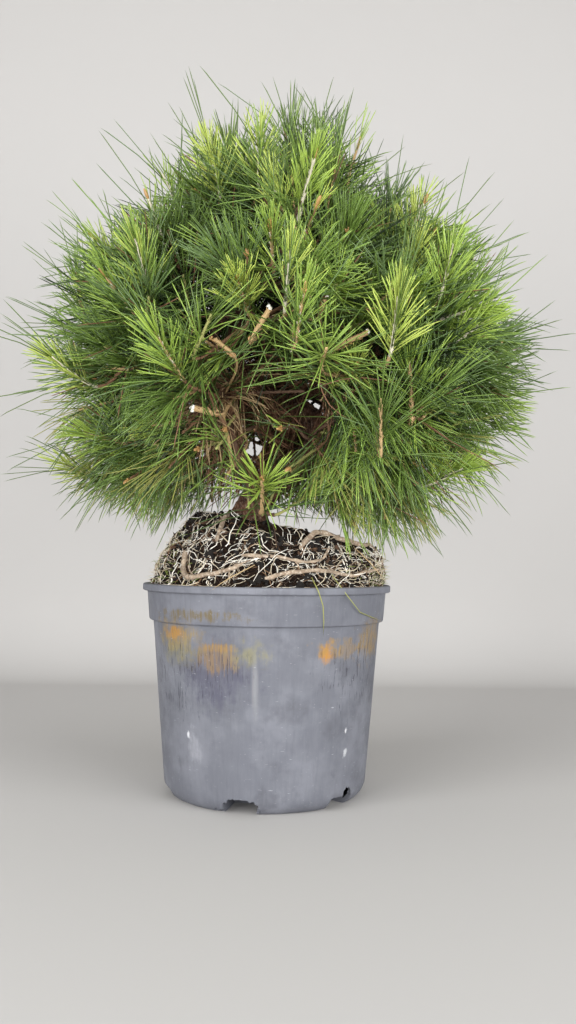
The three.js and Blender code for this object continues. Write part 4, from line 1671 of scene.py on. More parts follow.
    def grow_shoots(self) -> None:
        """Gives each shoot to the mass that its tip is nearest to, drawn in until it fits."""
        self.links = self.wood.links()
        front = [self.front_shoot(i) for i in range(len(self.FRONT_SHOOTS))]
        lowest = self.shape.centre[2] + self.shape.fall * math.sin(math.radians(self.shape.lowest))
        spread = [self.spread_shoot(i) for i in range(self.shoot_count)]
        kept = [
            shoot
            for shoot in spread
            if shoot.tip[2] > lowest
            and np.linalg.norm(shoot.tip - self.window) > self.window_radius
            and all(np.linalg.norm(other.tip - shoot.tip) > self.front_apart for other in front)
        ]
        for shoot in front + kept:
            mass = self.nearest(shoot.tip)
            for _ in range(self.tries):
                if self.fits(mass, shoot):
                    mass.shoots.append(shoot)
                    break
                ahead = (shoot.tip - mass.hub) @ mass.direction
                shoot.tip = lerp(shoot.tip, mass.hub + mass.direction * ahead, self.draw_in)
                shoot.axis = unit(lerp(shoot.axis, mass.direction, self.draw_in))

    def fits(self, mass: Mass, shoot: Shoot) -> bool:
        """Tells whether a shoot has room in a mass."""
        for other in mass.shoots:
            if off_lines(other.foot[None], other.tip[None], shoot.tip[None])[0, 0] <= self.apart:
                return False
        own = self.keeps(mass, shoot.foot, shoot.tip, self.ROOM["spray"])
        return own and self.keeps(mass, mass.hub, shoot.foot, self.ROOM["twig"])


@dataclass(frozen=True)
class ViewPoint:
    """Where the photograph was taken from, in millimetres and degrees."""

    place: tuple[float, float, float] = (0, -696, 176)
    turn_right: float = 1.27
    tilt_up: float = 2.92
    roll: float = 0.7
    lens: float = 31.64
    sensor: float = 36

    def on_axis_plane(self, places: np.ndarray) -> np.ndarray:
        """Carries places along their sight lines to the upright plane through the pot's axis.

        Args:
            places: The places.

        Returns:
            How far across and how high each then is.
        """
        rays = places - self.place
        stretched = self.place + rays * (-self.place[1] / np.maximum(rays[..., 1:2], 1.0))
        return stretched[..., [0, 2]]

    def at_depth(self, x: float, z: float, depth: float) -> np.ndarray:
        """Returns the place at a depth that is seen at a point of the axis plane."""
        target = np.array([x, 0, z]) - self.place
        return self.place + target * (1 - depth / self.place[1])


@dataclass(frozen=True)
class Opening:
    """A gap in the foliage: an oval across and up, as it is seen in the axis plane."""

    x: float
    z: float
    half_width: float
    half_height: float
    kept: float  # share of the needles that still cross it
    back: float  # needles behind this depth stay


@dataclass(frozen=True)
class Stub:
    """A pruned twig with a drop of dried resin on its cut end."""

    x: float  # as seen in the axis plane
    z: float
    inset: float
    length: float
    radius: float
    way: tuple[float, float, float]
    end: Wood = Wood.RESIN


@dataclass
class Foliage:
    """Twigs, buds and needles on the crown's shoots, and the finer shoots between them."""

    crown: Crown
    view: ViewPoint
    openings: tuple[Opening, ...] = (
        Opening(6, 277, 41, 33, 0.08, 60),
        Opening(-13, 311, 27, 20, 0.12, 40),
        Opening(36, 306, 11, 10, 0.2, -20),
        Opening(-47, 362, 11, 10, 0.25, -30),
        Opening(-68, 396, 10, 10, 0.3, -30),
        Opening(9, 387, 11, 10, 0.25, -30),
        Opening(83, 329, 12, 10, 0.25, -30),
        Opening(129, 285, 11, 9, 0.3, -20),
        Opening(-1, 413, 9, 9, 0.3, -30),
        Opening(29, 438, 10, 16, 0.35, -30),
        Opening(-127, 308, 10, 19, 0.35, -20),
        Opening(-67, 224, 13, 8, 0.3, -20),
        Opening(-16, 213, 13, 9, 0.1, -8),
        Opening(-6, 188, 66, 26, 0.06, 400),
        Opening(34, 294, 7, 6, 0.0, 400),
        Opening(-12, 262, 7, 7, 0.0, 400),
        Opening(-47, 260, 9, 7, 0.05, 400),
        Opening(-34, 230, 12, 10, 0.15, 400),
        Opening(23, 240, 8, 5, 0.1, 400),
        Opening(-59.4, 291.5, 7, 7, 0.05, -40),
        Opening(-44.8, 346.7, 7, 7, 0.05, -40),
        Opening(77.2, 353.7, 7, 7, 0.05, -40),
        Opening(-0.6, 371.3, 7, 7, 0.05, -40),
    )
    # Where the crown's edge lies further in than the solids'
    edges: tuple[Opening, ...] = (
        Opening(162, 470, 43, 28, 0.12, 400),
        Opening(203, 398, 23, 22, 0.25, 400),
        Opening(176, 218, 50, 25, 0.25, 400),
        Opening(197, 256, 24, 20, 0.35, 400),
        Opening(-180, 302, 18, 22, 0.35, 400),
        Opening(80, 516, 23, 19, 0.2, 400),
        Opening(-107, 470, 25, 15, 0.25, 400),
        Opening(20, 592, 120, 32, 0.0, 400),
    )
    stubs: tuple[Stub, ...] = (
        Stub(-59.4, 291.5, 50, 20, 1.9, (-0.8, -0.5, 0.1)),
        Stub(-44.8, 346.7, 50, 18, 1.3, (-0.75, -0.4, 0.55), Wood.BUD),
        Stub(77.2, 353.7, 46, 24, 1.5, (0.88, -0.3, 0.4)),
        Stub(-0.6, 371.3, 46, 24, 1.6, (0.5, -0.3, 0.8)),
        Stub(43, 382, 50, 14, 1.4, (0.3, -0.4, 0.85)),
    )
    dead: tuple[tuple[float, float, float], ...] = (
        (-34, -84, 285), (-28, -70, 298), (-46, -88, 272), (52, -62, 300), (62, -66, 290), (44, -46, 286),
        (-30, 14, 262), (2, 34, 284), (26, 26, 262), (46, 14, 250), (-12, 44, 302), (14, 34, 320),
        (64, -16, 270), (-56, -22, 258), (8, 22, 246), (-14, 30, 244), (-30, -70, 289), (-20, -50, 271),
        (-10, -20, 294), (2, 0, 267), (14, 20, 286), (18, 30, 255), (25, 10, 300), (-17, -30, 311),
        (-2, -10, 323), (-27, -60, 252), (-11, 40, 256),
    )
    # Across, up, lean to the right, turn to the viewer and growth, as for the crown's front shoots
    extra: tuple[tuple[float, float, float, float, Growth], ...] = (
        (26, 385, 10, 40, Growth.CANDLE), (143, 426, 12, 10, Growth.CANDLE),
        (173, 366, 60, 25, Growth.CANDLE), (-158, 246, -75, 25, Growth.CANDLE),
        (-50, 500, -12, 10, Growth.CANDLE), (-10, 512, 0, 8, Growth.CANDLE),
        (-107, 425, -15, 25, Growth.CANDLE), (152, 248, 70, 40, Growth.CANDLE),
        (44, 341, 0, 80, Growth.STAR), (-170, 330, -60, 20, Growth.CANDLE),
        (-46, 366, 30, 50, Growth.BRUSH), (87, 302, -3, 25, Growth.BRUSH),
        (-91, 352, -33, 35, Growth.CANDLE), (15, 418, 5, 25, Growth.CANDLE),
        (100, 383, 5, 25, Growth.CANDLE),
    )
    bare_twig: tuple[tuple[float, float, float], ...] = (
        (-22, -62, 292), (-29, -88, 277), (-31, -96, 268), (-27, -99, 254), (-24, -100, 234),
    )
    star_low: float = 240
    star_shift: tuple[float, float, float] = (5, 2, -11)
    side_shoots: int = 3
    inner_shoots: int = 5
    tries: int = 7
    candle_out: float = 22  # how much further out than the others a candle's tip stands
    farthest: float = 1.12  # a needle's reach at most, as a share of the outline's
    lobe: float = 0.16  # of the lobes in the dense outline, and how much further in it lies
    hang: tuple[float, float] = (174, 228)  # heights in the axis plane between which needles thin out
    bud_share: float = 0.3
    tips_apart: float = 15
    off_mound: float = 9
    off_limbs: float = 5
    side_apart: tuple[float, float] = (24, 42)  # a finer shoot's tip from its parent's, to the side
    side_back: tuple[float, float] = (2, 34)  # and back along the parent
    side_length: tuple[float, float] = (26, 38)
    side_candles: float = 0.22  # share of the finer shoots that are candles
    inner_reach: tuple[float, float] = (42, 66)
    inner_length: float = 28
    extra_length: float = 38
    dead_length: float = 22
    parting: tuple[float, float] = (1.2, 4.2)  # degrees between the needles of a pair
    curl: tuple[float, float] = (-0.04, 0.16)  # of a needle towards its shoot's tip, by its length
    unruly: float = 0.065
    dense: float = 0.95  # share of the outline's reach at which needles start to thin out
    fade: float = 14  # millimetres over which they do
    lowest_share: float = 0.22
    main_twig: tuple[float, float, float] = (2.1, 1.6, 1.25)  # radii at its foot, shoot and tip
    fine_twig: tuple[float, float, float] = (1.4, 1.1, 0.9)
    scale_size: tuple[float, float, float] = (0.55, 0.4, 1.5)
    bud_size: tuple[float, float, float] = (1.35, 1.35, 3.2)
    side_bud_size: tuple[float, float, float] = (0.9, 0.9, 2.2)
    shortest: float = 10  # needles that come out shorter are left out
    second_tone: float = 0.3  # share of a spray's needles in its second tone
    dry_share: float = 0.025
    stub_scales: int = 34
    all_shoots: dict[str, list[Shoot]] = field(default_factory=dict)
    tips: list[np.ndarray] = field(default_factory=list)

    EXTRA_SEED = 3500
    DEAD_SEED = 9000
    LAYER_SEED = 50000

    def stem(self, mass: Mass, shoot: Shoot, share: float) -> None:
        """Lays the twig from the mass's axis to a shoot's tip.

        Args:
            mass: Its mass.
            shoot: The shoot.
            share: Where it leaves the axis, between the bough's end and the hub.
        """
        fork = lerp(mass.stem_foot, mass.hub, share)
        if shoot.growth is Growth.STAR and shoot.tip[2] < self.star_low:
            shoot.tip = shoot.tip + self.star_shift
        if shoot.growth is Growth.CANDLE:
            ray = shoot.tip + shoot.axis * self.candle_out - self.crown.shape.centre
            over = np.linalg.norm(ray) - (self.crown.shape.reach(unit(ray)) - self.candle_out)
            shoot.tip = shoot.tip + shoot.axis * (self.candle_out - max(0.0, float(over)))
        way = shoot.foot - fork
        sag = UP * -0.07 * np.linalg.norm(way)
        draw = np.random.default_rng(shoot.seed + 17)
        bent = lerp(fork, shoot.foot, 0.5) + sag + draw.normal(0, 1.6, 3) + mass.direction * 3
        shoot.stem = Curve([fork, bent, shoot.foot, shoot.tip])

    def side_shoot(self, parent: Shoot, index: int) -> Shoot | None:
        """Grows a shoot beside another.

        Args:
            parent: The other shoot.
            index: Its number on the other.

        Returns:
            The new shoot, or nothing where there is no room.
        """
        seed = parent.seed * 7 + index + self.crown.SEEDS["fine"]
        draw = np.random.default_rng(seed)
        for attempt in range(self.tries):
            turn = math.radians(GOLDEN_ANGLE * index + parent.seed * 61 + attempt * 47)
            side = spoke(parent.axis, turn)
            axis = unit(parent.axis + side * draw.uniform(0.4, 1.3) + UP * 0.1)
            tip = parent.tip + side * draw.uniform(*self.side_apart)
            tip = tip - parent.axis * draw.uniform(*self.side_back)
            length = draw.uniform(*self.side_length)
            fork = parent.stem.at(draw.uniform(0.3, 0.62))
            if self.has_room(tip, tip - axis * length, self.crown.inset * 0.86):
                growth = parent.growth if parent.growth is Growth.HANGING else Growth.SIDE
                if draw.random() < self.side_candles:
                    growth = Growth.CANDLE
                shoot = Shoot(axis, tip, length, growth, seed)
                bent = lerp(fork, shoot.foot, 0.5) + parent.axis * 3 + draw.normal(0, 1.2, 3)
                shoot.stem = Curve([fork, bent, shoot.foot, tip])
                return shoot
        return None

    def inner_shoot(self, mass: Mass, index: int) -> Shoot | None:
        """Grows a shaded shoot inside the crown, from the bough or the mass's axis."""
        seed = self.crown.masses.index(mass) * 31 + index + self.crown.SEEDS["fine"] * 5
        draw = np.random.default_rng(seed)
        for _ in range(self.tries):
            axis = unit(mass.direction * 0.5 + draw.normal(0, 0.7, 3) + UP * 0.25)
            start = lerp(mass.stem_foot, mass.hub, draw.uniform(-0.3, 0.9))
            tip = start + axis * draw.uniform(*self.inner_reach)
            if self.has_room(tip, tip - axis * self.inner_length, self.crown.inset):
                shoot = Shoot(axis, tip, self.inner_length, Growth.INNER, seed)
                bent = lerp(start, shoot.foot, 0.5) + draw.normal(0, 1.5, 3)
                shoot.stem = Curve([start, bent, shoot.foot, tip])
                return shoot
        return None

    def has_room(self, tip: np.ndarray, foot: np.ndarray, inset: float) -> bool:
        """Tells whether a finer shoot has room: in the outline, off its neighbours, limbs and openings."""
        ray = tip - self.crown.shape.centre
        if np.linalg.norm(ray) > self.crown.shape.reach(unit(ray)) - inset:
            return False
        if min(np.linalg.norm(np.array(self.tips) - tip, axis=1)) < self.tips_apart:
            return False
        places = lerp(foot, tip, np.linspace(0, 1, 4)[:, None])
        if not self.crown.mound.clear(places, self.off_mound, self.crown.rim).all():
            return False
        starts, ends, radii = self.crown.links
        if (off_lines(starts, ends, places) < radii + self.off_limbs).any():
            return False
        return not self.crossing(places[None], 0.0)[0]

    def crossing(
        self, lines: np.ndarray, chance: np.ndarray | float, gaps: Sequence[Opening] = ()
    ) -> np.ndarray:
        """Tells which lines cross an opening.

        Args:
            lines: Their points, as (line, point, axis).
            chance: A number from 0 to 1 for each, under which an opening keeps it.
            gaps: The openings, all of them when left out.

        Returns:
            True for each that crosses and isn't kept.
        """
        seen = self.view.on_axis_plane(lines)
        crossed = np.zeros(len(lines), bool)
        for gap in gaps or self.openings + self.edges:
            off = (seen - [gap.x, gap.z]) / [gap.half_width, gap.half_height]
            inside = ((off**2).sum(-1) < 1) & (lines[..., 1] < gap.back)
            crossed |= inside.any(-1) & ~((np.asarray(chance) < gap.kept) & (gap.kept > 0))
        return crossed

    def branch(self) -> None:
        """Grows the stems and the finer shoots of every mass."""
        self.tips = [shoot.tip for mass in self.crown.masses for shoot in mass.shoots]
        for mass in self.crown.masses:
            ends = np.array([lerp(shoot.foot, shoot.tip, 0.8) for shoot in mass.shoots])
            outside = self.crossing(ends[:, None], 1.0, self.edges)
            mass.shoots = [shoot for shoot, out in zip(mass.shoots, outside) if not out]
            order = sorted(mass.shoots, key=lambda shoot: float((shoot.foot - mass.hub) @ mass.direction))
            for rank, shoot in enumerate(order):
                self.stem(mass, shoot, lerp(0.35, 1.0, (rank + 1) / len(order)))
            kept = list(mass.shoots) + self.extra_shoots(mass)
            for shoot in mass.shoots:
                for index in range(self.side_shoots):
                    self.keep(kept, self.side_shoot(shoot, index))
            for index in range(self.inner_shoots):
                self.keep(kept, self.inner_shoot(mass, index))
            self.all_shoots[mass.name] = kept
        for index, tip in enumerate(np.array(self.dead, float)):
            self.hang_dead(tip, index)

    def on_sight(self, x: float, z: float, inset: float) -> np.ndarray:
        """Finds the front place as deep in the outline as given, seen at a point of the axis plane."""
        for depth in range(-210, 0, 2):
            spot = self.view.at_depth(x, z, depth)
            ray = spot - self.crown.shape.centre
            if np.linalg.norm(ray) <= self.crown.shape.reach(unit(ray)) - inset:
                break
        return spot

    def extra_shoots(self, mass: Mass) -> list[Shoot]:
        """Grows the further shoots that stand out at the front of a mass."""
        grown = []
        for index, (x, z, lean, forward, growth) in enumerate(self.extra):
            tip = self.on_sight(x, z, self.candle_out + 4)
            if mass is not self.crown.nearest(tip):
                continue
            axis, seed = leaning(lean, forward), self.EXTRA_SEED + index
            shoot = Shoot(axis, tip, self.extra_length, growth, seed)
            start = lerp(mass.stem_foot, mass.hub, 0.9)
            bent = lerp(start, shoot.foot, 0.5) + mass.direction * 4
            shoot.stem = Curve([start, bent, shoot.foot, tip])
            self.tips.append(tip)
            grown.append(shoot)
        return grown

    def keep(self, shoots: list[Shoot], shoot: Shoot | None) -> None:
        """Adds a shoot that found room."""
        if shoot:
            shoots.append(shoot)
            self.tips.append(shoot.tip)

    def hang_dead(self, tip: np.ndarray, index: int) -> None:
        """Hangs a dead twig on the nearest limb."""
        starts, _, _ = self.crown.links
        start = starts[np.argmin(np.linalg.norm(starts - tip, axis=1))]
        axis = unit(unit(tip - start) - UP * 0.3)
        shoot = Shoot(axis, tip, self.dead_length, Growth.DEAD, self.DEAD_SEED + index)
        shoot.stem = Curve([start, lerp(start, shoot.foot, 0.5) + UP * 3, shoot.foot, tip])
        self.all_shoots[self.crown.nearest(tip).name].append(shoot)

    def needles(self, shoot: Shoot, layer: Layer, seed: int) -> tuple[np.ndarray, np.ndarray, np.ndarray]:
        """Sets one layer of a shoot's needles, in pairs round its stem.

        Args:
            shoot: The shoot.
            layer: The layer.
            seed: For the layer's random draws.

        Returns:
            Each needle's line, its radii and the number of its tone.
        """
        draw = np.random.default_rng(seed)
        count = round(layer.pairs * draw.uniform(0.85, 1.15))
        order = (np.arange(count) + draw.random(count)) / count
        share = 1 - lerp(*layer.zone, order) / shoot.stem.length
        turn = np.radians(np.arange(count) * GOLDEN_ANGLE + draw.normal(0, 14, count))
        along, foot = shoot.stem.along(share), shoot.stem.at(share)
        radial = spoke(along, turn[:, None])
        spread = np.radians(lerp(*layer.spread, order) + draw.normal(0, layer.scatter, count))
        way = along * np.cos(spread)[:, None] + radial * np.sin(spread)[:, None]
        length = lerp(*layer.length, order) * draw.uniform(0.8, 1.1, count)
        # Two needles stand in each sheath and part by a few degrees
        way, foot, length, along = (np.repeat(part, 2, axis=0) for part in (way, foot, length, along))
        apart = np.radians(draw.uniform(*self.parting, count))
        sideways = unit(np.cross(way[::2], draw.normal(0, 1, (count, 3))))
        parted = np.stack([sideways, -sideways], axis=1).reshape(-1, 3)
        way = unit(way + parted * np.repeat(apart, 2)[:, None])
        length = length * draw.uniform(0.93, 1.04, len(length))
        curl = along * draw.uniform(*self.curl, (len(way), 1))
        curl = curl - UP * layer.sag * draw.uniform(0.4, 1.6, (len(way), 1))
        curl = curl + draw.normal(0, self.unruly, way.shape)
        shift = curl - way * (curl * way).sum(-1, keepdims=True)
        length = self.within(foot, unit(way + shift), length)
        marks = np.array([0, 0.46, 0.9, 1])[:, None]
        lines = foot[:, None] + length[:, None, None] * (way[:, None] * marks + shift[:, None] * marks**2)
        radii = layer.radius * draw.uniform(0.88, 1.14, (len(way), 1)) * [0.85, 1.0, 0.88]
        tones = np.array([slot_of(tone) for tone in draw.choice(np.array(layer.tones, object), 2)])
        tones = tones[(draw.random(len(way)) < self.second_tone).astype(int)]
        dry = (draw.random(len(way)) < self.dry_share) & (order.repeat(2) < 0.5)
        tones = np.where(dry, slot_of(Tone.RUST), tones)
        chance = draw.random(len(way)) - (shoot.growth in (Growth.STAR, Growth.DEAD))
        steps = np.linspace(0.1, 1, 12)[:, None]
        swept = foot[:, None] + length[:, None, None] * (way[:, None] * steps + shift[:, None] * steps**2)
        good = (length > self.shortest) & ~self.crossing(swept, chance)
        good &= self.crown.mound.clear(lines[:, 1:], 0.8, self.crown.rim).all(-1)
        good &= draw.random(len(way)) < self.thinned(lines[:, -1], layer.airy)
        starts, ends, thick = self.crown.links
        off = off_lines(starts, ends, lines[:, 1:].reshape(-1, 3)) < thick + 0.6
        good &= ~off.any(-1).reshape(len(lines), -1).any(-1)
        return lines[good], radii[good], tones[good]

    def thinned(self, tips: np.ndarray, airy: float) -> np.ndarray:
        """Returns the chance that needles stay, which falls at the crown's outline and under it."""
        ray = tips - self.crown.shape.centre
        way = unit(ray)
        lobes = self.lobe * smooth_noise(way * 3.1)
        dense = self.crown.shape.reach(way) * (self.dense + lobes)
        out = np.clip((np.linalg.norm(ray, axis=-1) - dense) / self.fade, 0, 1)
        height = self.view.on_axis_plane(tips)[:, 1]
        low = np.clip((height - self.hang[0]) / (self.hang[1] - self.hang[0]), 0, 1)
        return (1 - airy * out) * np.where(low > 0, lerp(self.lowest_share, 1.0, low), 0)

    def within(self, foot: np.ndarray, way: np.ndarray, length: np.ndarray) -> np.ndarray:
        """Shortens needles that would stand too far out of the crown's outline."""
        ray = foot + way * length[:, None] - self.crown.shape.centre
        over = np.linalg.norm(ray, axis=-1) - self.farthest * self.crown.shape.reach(unit(ray))
        outwards = np.maximum((way * unit(ray)).sum(-1), 0.3)
        return length - np.maximum(over, 0) / outwards

    def leaf(self, finishes: Sequence[Material]) -> None:
        """Builds the needles, one piece for each mass."""
        for name, shoots in self.all_shoots.items():
            bundle = Bundle()
            for shoot in shoots:
                for index, layer in enumerate(FORMS[shoot.growth]):
                    seed = shoot.seed + self.LAYER_SEED * index
                    lines, radii, tones = self.needles(shoot, layer, seed)
                    if len(lines):
                        bundle.tubes(lines, radii, 3, tones)
            bundle.piece(f"foliage_{name}", finishes, "needles", [f"needles_{name}"])

    def twigs(self, finishes: Sequence[Material]) -> None:
        """Builds the twigs with their leaf scars and scales, the buds and the resin ends."""
        stems, scales, buds = Bundle(), Bundle(), Bundle()
        shares = ring_shares(12)
        for mass in self.crown.masses:
            axis = Curve([mass.stem_foot - mass.direction * 2, mass.stem_foot, mass.hub])
            stems.tubes(axis.at(shares)[None], lerp(3.0, 1.9, shares[:-1])[None], 8, slot_of(Wood.OLD))
        for shoots in self.all_shoots.values():
            for shoot in shoots:
                self.twig(shoot, stems, scales)
                self.bud(shoot, buds)
        for stub in self.stubs:
            self.pruned(stub, stems, scales, buds)
        bare = Curve(self.bare_twig).at(shares)
        stems.tubes(bare[None], lerp(1.6, 1.2, shares[:-1])[None], 8, slot_of(Wood.TAN))
        for spot, way in zip(bare[1:-1], unit(np.diff(bare[:-1], axis=0))):
            ring = np.array([[1.75, 1.75, 0.5]])
            scales.lumps(spot[None], way[None], ring, slot_of(Wood.BUD), 0.1)
        stems.piece("twigs", finishes, "bark")
        scales.piece("twig_scales", finishes, "bark")
        buds.piece("buds", finishes, "bark")

    def twig(self, shoot: Shoot, stems: Bundle, scales: Bundle) -> None:
        """Adds one shoot's stem: older wood up to its foot and new wood beyond."""
        draw = np.random.default_rng(shoot.seed + 5)
        main = shoot.seed < self.crown.SEEDS["fine"]
        thick = self.main_twig if main and shoot.seed < self.EXTRA_SEED else self.fine_twig
        old = (Wood.OLD, Wood.BROWN, Wood.TAN if main else Wood.OLD)[draw.integers(3)]
        if self.EXTRA_SEED <= shoot.seed < self.crown.SEEDS["spread"]:
            old = Wood.TAN if shoot.tip[0] > 0 else Wood.BROWN
        new = (Wood.NEW, Wood.TAN, Wood.BROWN)[draw.integers(3)]
        if shoot.growth is Growth.CANDLE and main:
            new = (Wood.WHITE, Wood.WHITE, Wood.TAN)[draw.integers(3)]
        if shoot.growth in (Growth.INNER, Growth.DEAD) or (old is Wood.TAN and shoot.growth is Growth.BRUSH):
            new = old
        bend = 1 - shoot.length / shoot.stem.length
        for first, last, radii, wood in (
            (0.0, bend + 0.02, thick[:2], old),
            (bend, 1.0, thick[1:], new),
        ):
            steps = ring_shares(12)
            line = shoot.stem.at(lerp(first, last, steps))
            uneven = draw.uniform(0.9, 1.12, 12)
            stems.tubes(line[None], (lerp(*radii, steps[:-1]) * uneven)[None], 6, slot_of(wood))
            count = 18 if main else 9
            share = lerp(first, last, draw.uniform(0.05, 0.95, count))
            along = shoot.stem.along(share)
            radial = spoke(along, np.radians(np.arange(count) * GOLDEN_ANGLE)[:, None])
            foot = shoot.stem.at(share) + radial * lerp(*radii, 0.5) * 0.95
            size = self.scale_size * draw.uniform(0.7, 1.2, (count, 1))
            pale = Wood.WHITE if wood is new and shoot.growth is Growth.CANDLE else wood
            scales.lumps(foot, unit(along + radial * 0.45), size, slot_of(pale))

    def bud(self, shoot: Shoot, buds: Bundle) -> None:
        """Adds a shoot's end bud, with small ones beside it."""
        draw = np.random.default_rng(shoot.seed + 9)
        if shoot.growth in (Growth.INNER, Growth.DEAD) or draw.random() > self.bud_share:
            return
        long = 1.5 if shoot.growth is Growth.CANDLE else 1.0
        tip, axis = shoot.stem.at(1.0), shoot.stem.along(1.0)
        size = np.array([self.bud_size]) * [1, 1, long] * draw.uniform(0.85, 1.2)
        buds.lumps((tip + axis * size[0, 2] * 0.6)[None], axis[None], size, slot_of(Wood.BUD), 0.06, 2)
        for k in range(draw.integers(0, 4)):
            way = unit(axis + spoke(axis, k * 2.1) * 0.7)
            spot = tip + way * 2 - axis * 1
            buds.lumps(spot[None], way[None], np.array([self.side_bud_size]), slot_of(Wood.BUD), 0.06)

    def pruned(self, stub: Stub, stems: Bundle, scales: Bundle, buds: Bundle) -> None:
        """Adds a pruned twig, rough at its end, and what sits on the end."""
        end, way = self.on_sight(stub.x, stub.z, stub.inset), unit(np.array(stub.way))
        mass = min(self.crown.masses, key=lambda mass: np.linalg.norm(mass.hub - end))
        curve = Curve([lerp(mass.stem_foot, mass.hub, 0.8), end - way * stub.length, end])
        shares = ring_shares(23)
        radii = np.where(shares[:-1] * curve.length < curve.length - stub.length * 0.8, 0.8, stub.radius)
        stems.tubes(curve.at(shares)[None], radii[None], 8, slot_of(Wood.TAN))
        draw = np.random.default_rng(round(stub.z))
        count = self.stub_scales
        back = draw.uniform(0, stub.length, (count, 1))
        radial = spoke(way, draw.uniform(0, 2 * np.pi, (count, 1)))
        size = np.array([0.7, 0.5, 1.7]) * draw.uniform(0.6, 1.2, (count, 1))
        tones = draw.choice([slot_of(tone) for tone in (Wood.BROWN, Wood.TAN, Wood.BUD)], count)
        scales.lumps(end - way * back + radial * stub.radius * 0.9, unit(way + radial * 0.5), size, tones)
        drops = end + draw.normal(0, 0.45 * stub.radius, (4, 3))
        size = stub.radius * draw.uniform(0.5, 0.85, (4, 3))
        buds.lumps(drops, unit(draw.normal(size=(4, 3))), size, slot_of(stub.end), 0.2, 2)

    def strays(self, finishes: Sequence[Material]) -> Object:
        """Lays the few loose needles that lie over the rim, against the wall and on the mound."""
        lines = np.array(
            [
                [(30.0, -87, 163), (33.0, -91.0, 157.4), (38.4, -84.8, 142), (38.6, -79.6, 121.5)],
                [(44.0, -80, 165), (51.0, -79.5, 157.6), (61.0, -71.5, 142), (85.0, -34.5, 130.5)],
                [(-8.5, -86, 171), (-18.0, -88.5, 166), (-28.0, -88, 160.5), (-38.0, -88.6, 153)],
                [(62.0, -52, 184), (70.0, -60, 176), (77.0, -62, 168), (84.0, -60, 160)],
                [(33.0, -150, 282), (45.0, -152, 285.5), (58.0, -152, 286.5), (80.0, -150, 284)],
                [(30.0, -148, 286), (33.0, -150, 276), (39.0, -151, 267), (51.0, -150, 260)],
            ]
        )
        shares = np.array([0, 0.25, 0.5, 0.75, 1.0])
        curved = np.stack([Curve(line).at(shares) for line in lines])
        tones = np.repeat([slot_of(tone) for tone in (Tone.OLIVE, Tone.STRAW, Tone.RUST)], 2)
        bundle = Bundle()
        bundle.tubes(curved, np.tile([0.32, 0.38, 0.36, 0.28], (len(lines), 1)), 4, tones)
        return bundle.piece("loose_needles", finishes, "needles")


@dataclass(frozen=True)
class Lamp:
    """A soft square lamp that looks at the plant."""

    name: str
    place: tuple[float, float, float]  # metres, as is the size
    watts: float
    size: float


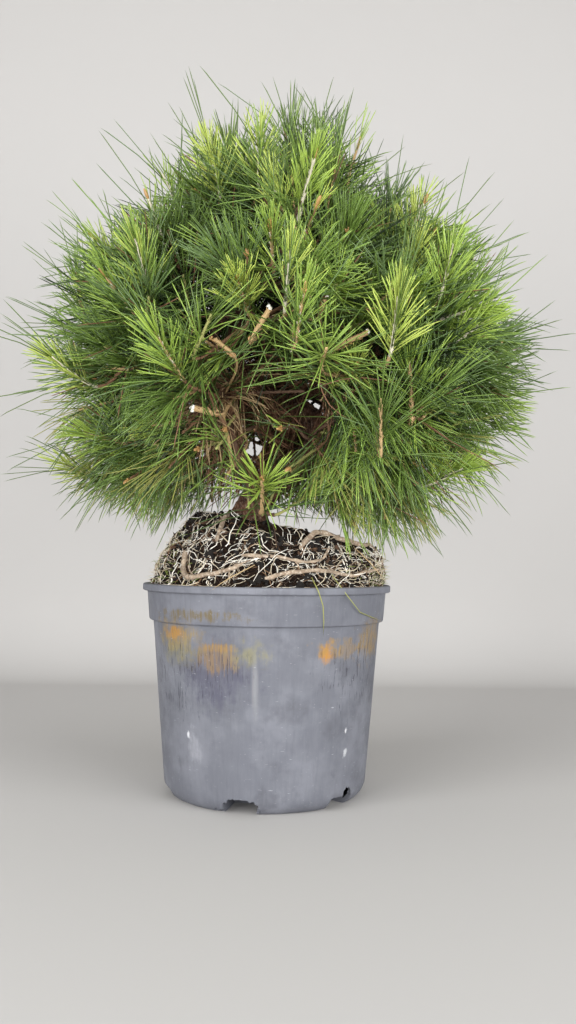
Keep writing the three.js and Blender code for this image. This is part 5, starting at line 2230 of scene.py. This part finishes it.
@dataclass
class Studio:
    """A pale floor that curves up to a pale wall, soft lights and the camera."""

    view: ViewPoint
    floor_depth: float = 0.66
    half_width: float = 3.2
    near: float = 2.4
    height: float = 2.6
    corner: float = 0.12
    paint: Plain = Plain("studio_paper_matt", "#c2c0be", 0.9)
    lamps: tuple[Lamp, ...] = (
        Lamp("key", (-1.35, -1.0, 0.75), 12, 0.6),
        Lamp("fill", (1.45, -0.9, 0.55), 12, 0.8),
        Lamp("front", (0.1, -2.3, 0.3), 21, 1.2),
        Lamp("low_left", (-0.65, -1.0, 0.25), 8, 0.5),
        Lamp("low_right", (0.7, -1.0, 0.25), 8, 0.5),
        Lamp("top", (0.0, -0.8, 1.8), 5, 1.5),
    )
    aim: float = 0.28  # the height that the lamps look at
    sky: float = 0.3
    sky_colour: str = "#f3f3f1"

    def paper(self) -> Material:
        """Makes the backdrop's paper, which is clear from behind so that the plant shows there too."""
        material = self.paint.material()
        tree = material.node_tree
        behind = add_node(tree, "NewGeometry", output="Backfacing")
        painted = tree.nodes["Principled BSDF"].outputs["BSDF"]
        faces = {0: behind, 1: painted, 2: add_node(tree, "BsdfTransparent")}
        wire(tree, tree.nodes["Material Output"], {"Surface": add_node(tree, "MixShader", faces)})
        return material

    def backdrop(self) -> None:
        """Builds the floor and the wall in one sweep."""
        bm = bmesh.new()
        spots = [(0, -self.near, 0), (0, self.floor_depth, 0), (0, self.floor_depth, self.height)]
        line = [bm.verts.new(spot) for spot in spots]
        for pair in zip(line, line[1:]):
            bm.edges.new(pair)
        bmesh.ops.bevel(
            bm, geom=[line[1]], offset=self.corner, offset_type="OFFSET", segments=12,
            profile=0.5, affect="VERTICES", material=-1,
        )
        edges = bm.edges[:]
        for corner in bm.verts:
            corner.co.x = -self.half_width
        swept = bmesh.ops.extrude_edge_only(bm, edges=edges)["geom"]
        moved = [part for part in swept if isinstance(part, bmesh.types.BMVert)]
        bmesh.ops.translate(bm, vec=(2 * self.half_width, 0, 0), verts=moved)
        bmesh.ops.recalc_face_normals(bm, faces=bm.faces)
        if sum(face.normal.z for face in bm.faces) < 0:
            bmesh.ops.reverse_faces(bm, faces=bm.faces)
        mesh = bpy.data.meshes.new("backdrop")
        bm.to_mesh(mesh)
        bm.free()
        mesh.shade_smooth()
        mesh.materials.append(self.paper())
        added("backdrop", mesh)

    def hang(self, lamp: Lamp) -> None:
        """Hangs a lamp and turns it to the plant."""
        light = bpy.data.lights.new(lamp.name, "AREA")
        light.energy, light.size = lamp.watts, lamp.size
        holder = added(lamp.name, light)
        holder.location = lamp.place
        away = Vector(lamp.place) - Vector((0, 0, self.aim))
        holder.rotation_euler = away.to_track_quat("Z", "Y").to_euler()

    def camera(self) -> None:
        """Sets the camera at the photograph's place, with the same angle of view."""
        view = self.view
        lens = bpy.data.cameras.new("camera")
        lens.sensor_fit, lens.sensor_width, lens.lens = "AUTO", view.sensor, view.lens
        lens.dof.use_dof = False
        holder = added("camera", lens)
        turn = Matrix.Rotation(math.radians(-view.turn_right), 4, "Z")
        tilt = Matrix.Rotation(math.radians(90 + view.tilt_up), 4, "X")
        roll = Matrix.Rotation(math.radians(view.roll), 4, "Z")
        holder.matrix_world = Matrix.Translation(Vector(view.place) * MM) @ turn @ tilt @ roll
        bpy.context.scene.camera = holder

    def build(self) -> None:
        """Builds the studio."""
        self.backdrop()
        for lamp in self.lamps:
            self.hang(lamp)
        world = bpy.data.worlds.new("studio")
        world.use_nodes = True
        background = world.node_tree.nodes["Background"]
        wire(world.node_tree, background, {0: linear(self.sky_colour), 1: self.sky})
        bpy.context.scene.world = world
        bpy.context.scene.view_settings.view_transform = "Standard"
        self.camera()


def write_sizes() -> None:
    """Brings the scene's transforms up to date."""
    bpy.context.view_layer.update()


def main() -> None:
    """Builds the plant and the studio."""
    logging.basicConfig(level=logging.INFO, format="%(name)s: %(message)s")
    needle_finishes = [tone.value.material() for tone in Tone]
    wood_finishes = [wood.value.material() for wood in Wood]
    fibre_finishes = [fibre.value.material() for fibre in Fibre]
    pot = NurseryPot()
    pot.build(WeatheredPolypropylene().material())
    mound = Mound()
    ball = RootBall(mound)
    ball.peat(PEAT.material())
    ball.fibres(fibre_finishes)
    ball.litter(fibre_finishes)
    SurfaceRoots(mound).build(ROOT_BARK.material())
    wood = Wooden()
    crown = Crown(mound, wood, pot.radius)
    crown.seat_masses()
    crown.grow_shoots()
    wood.build(PINE_BARK.material())
    view = ViewPoint()
    foliage = Foliage(crown, view)
    foliage.branch()
    foliage.leaf(needle_finishes)
    foliage.twigs(wood_finishes)
    foliage.strays(needle_finishes)
    Studio(view).build()
    write_sizes()
    log.info("done: %d shoots", sum(len(shoots) for shoots in foliage.all_shoots.values()))


if __name__ == "__main__":
    main()
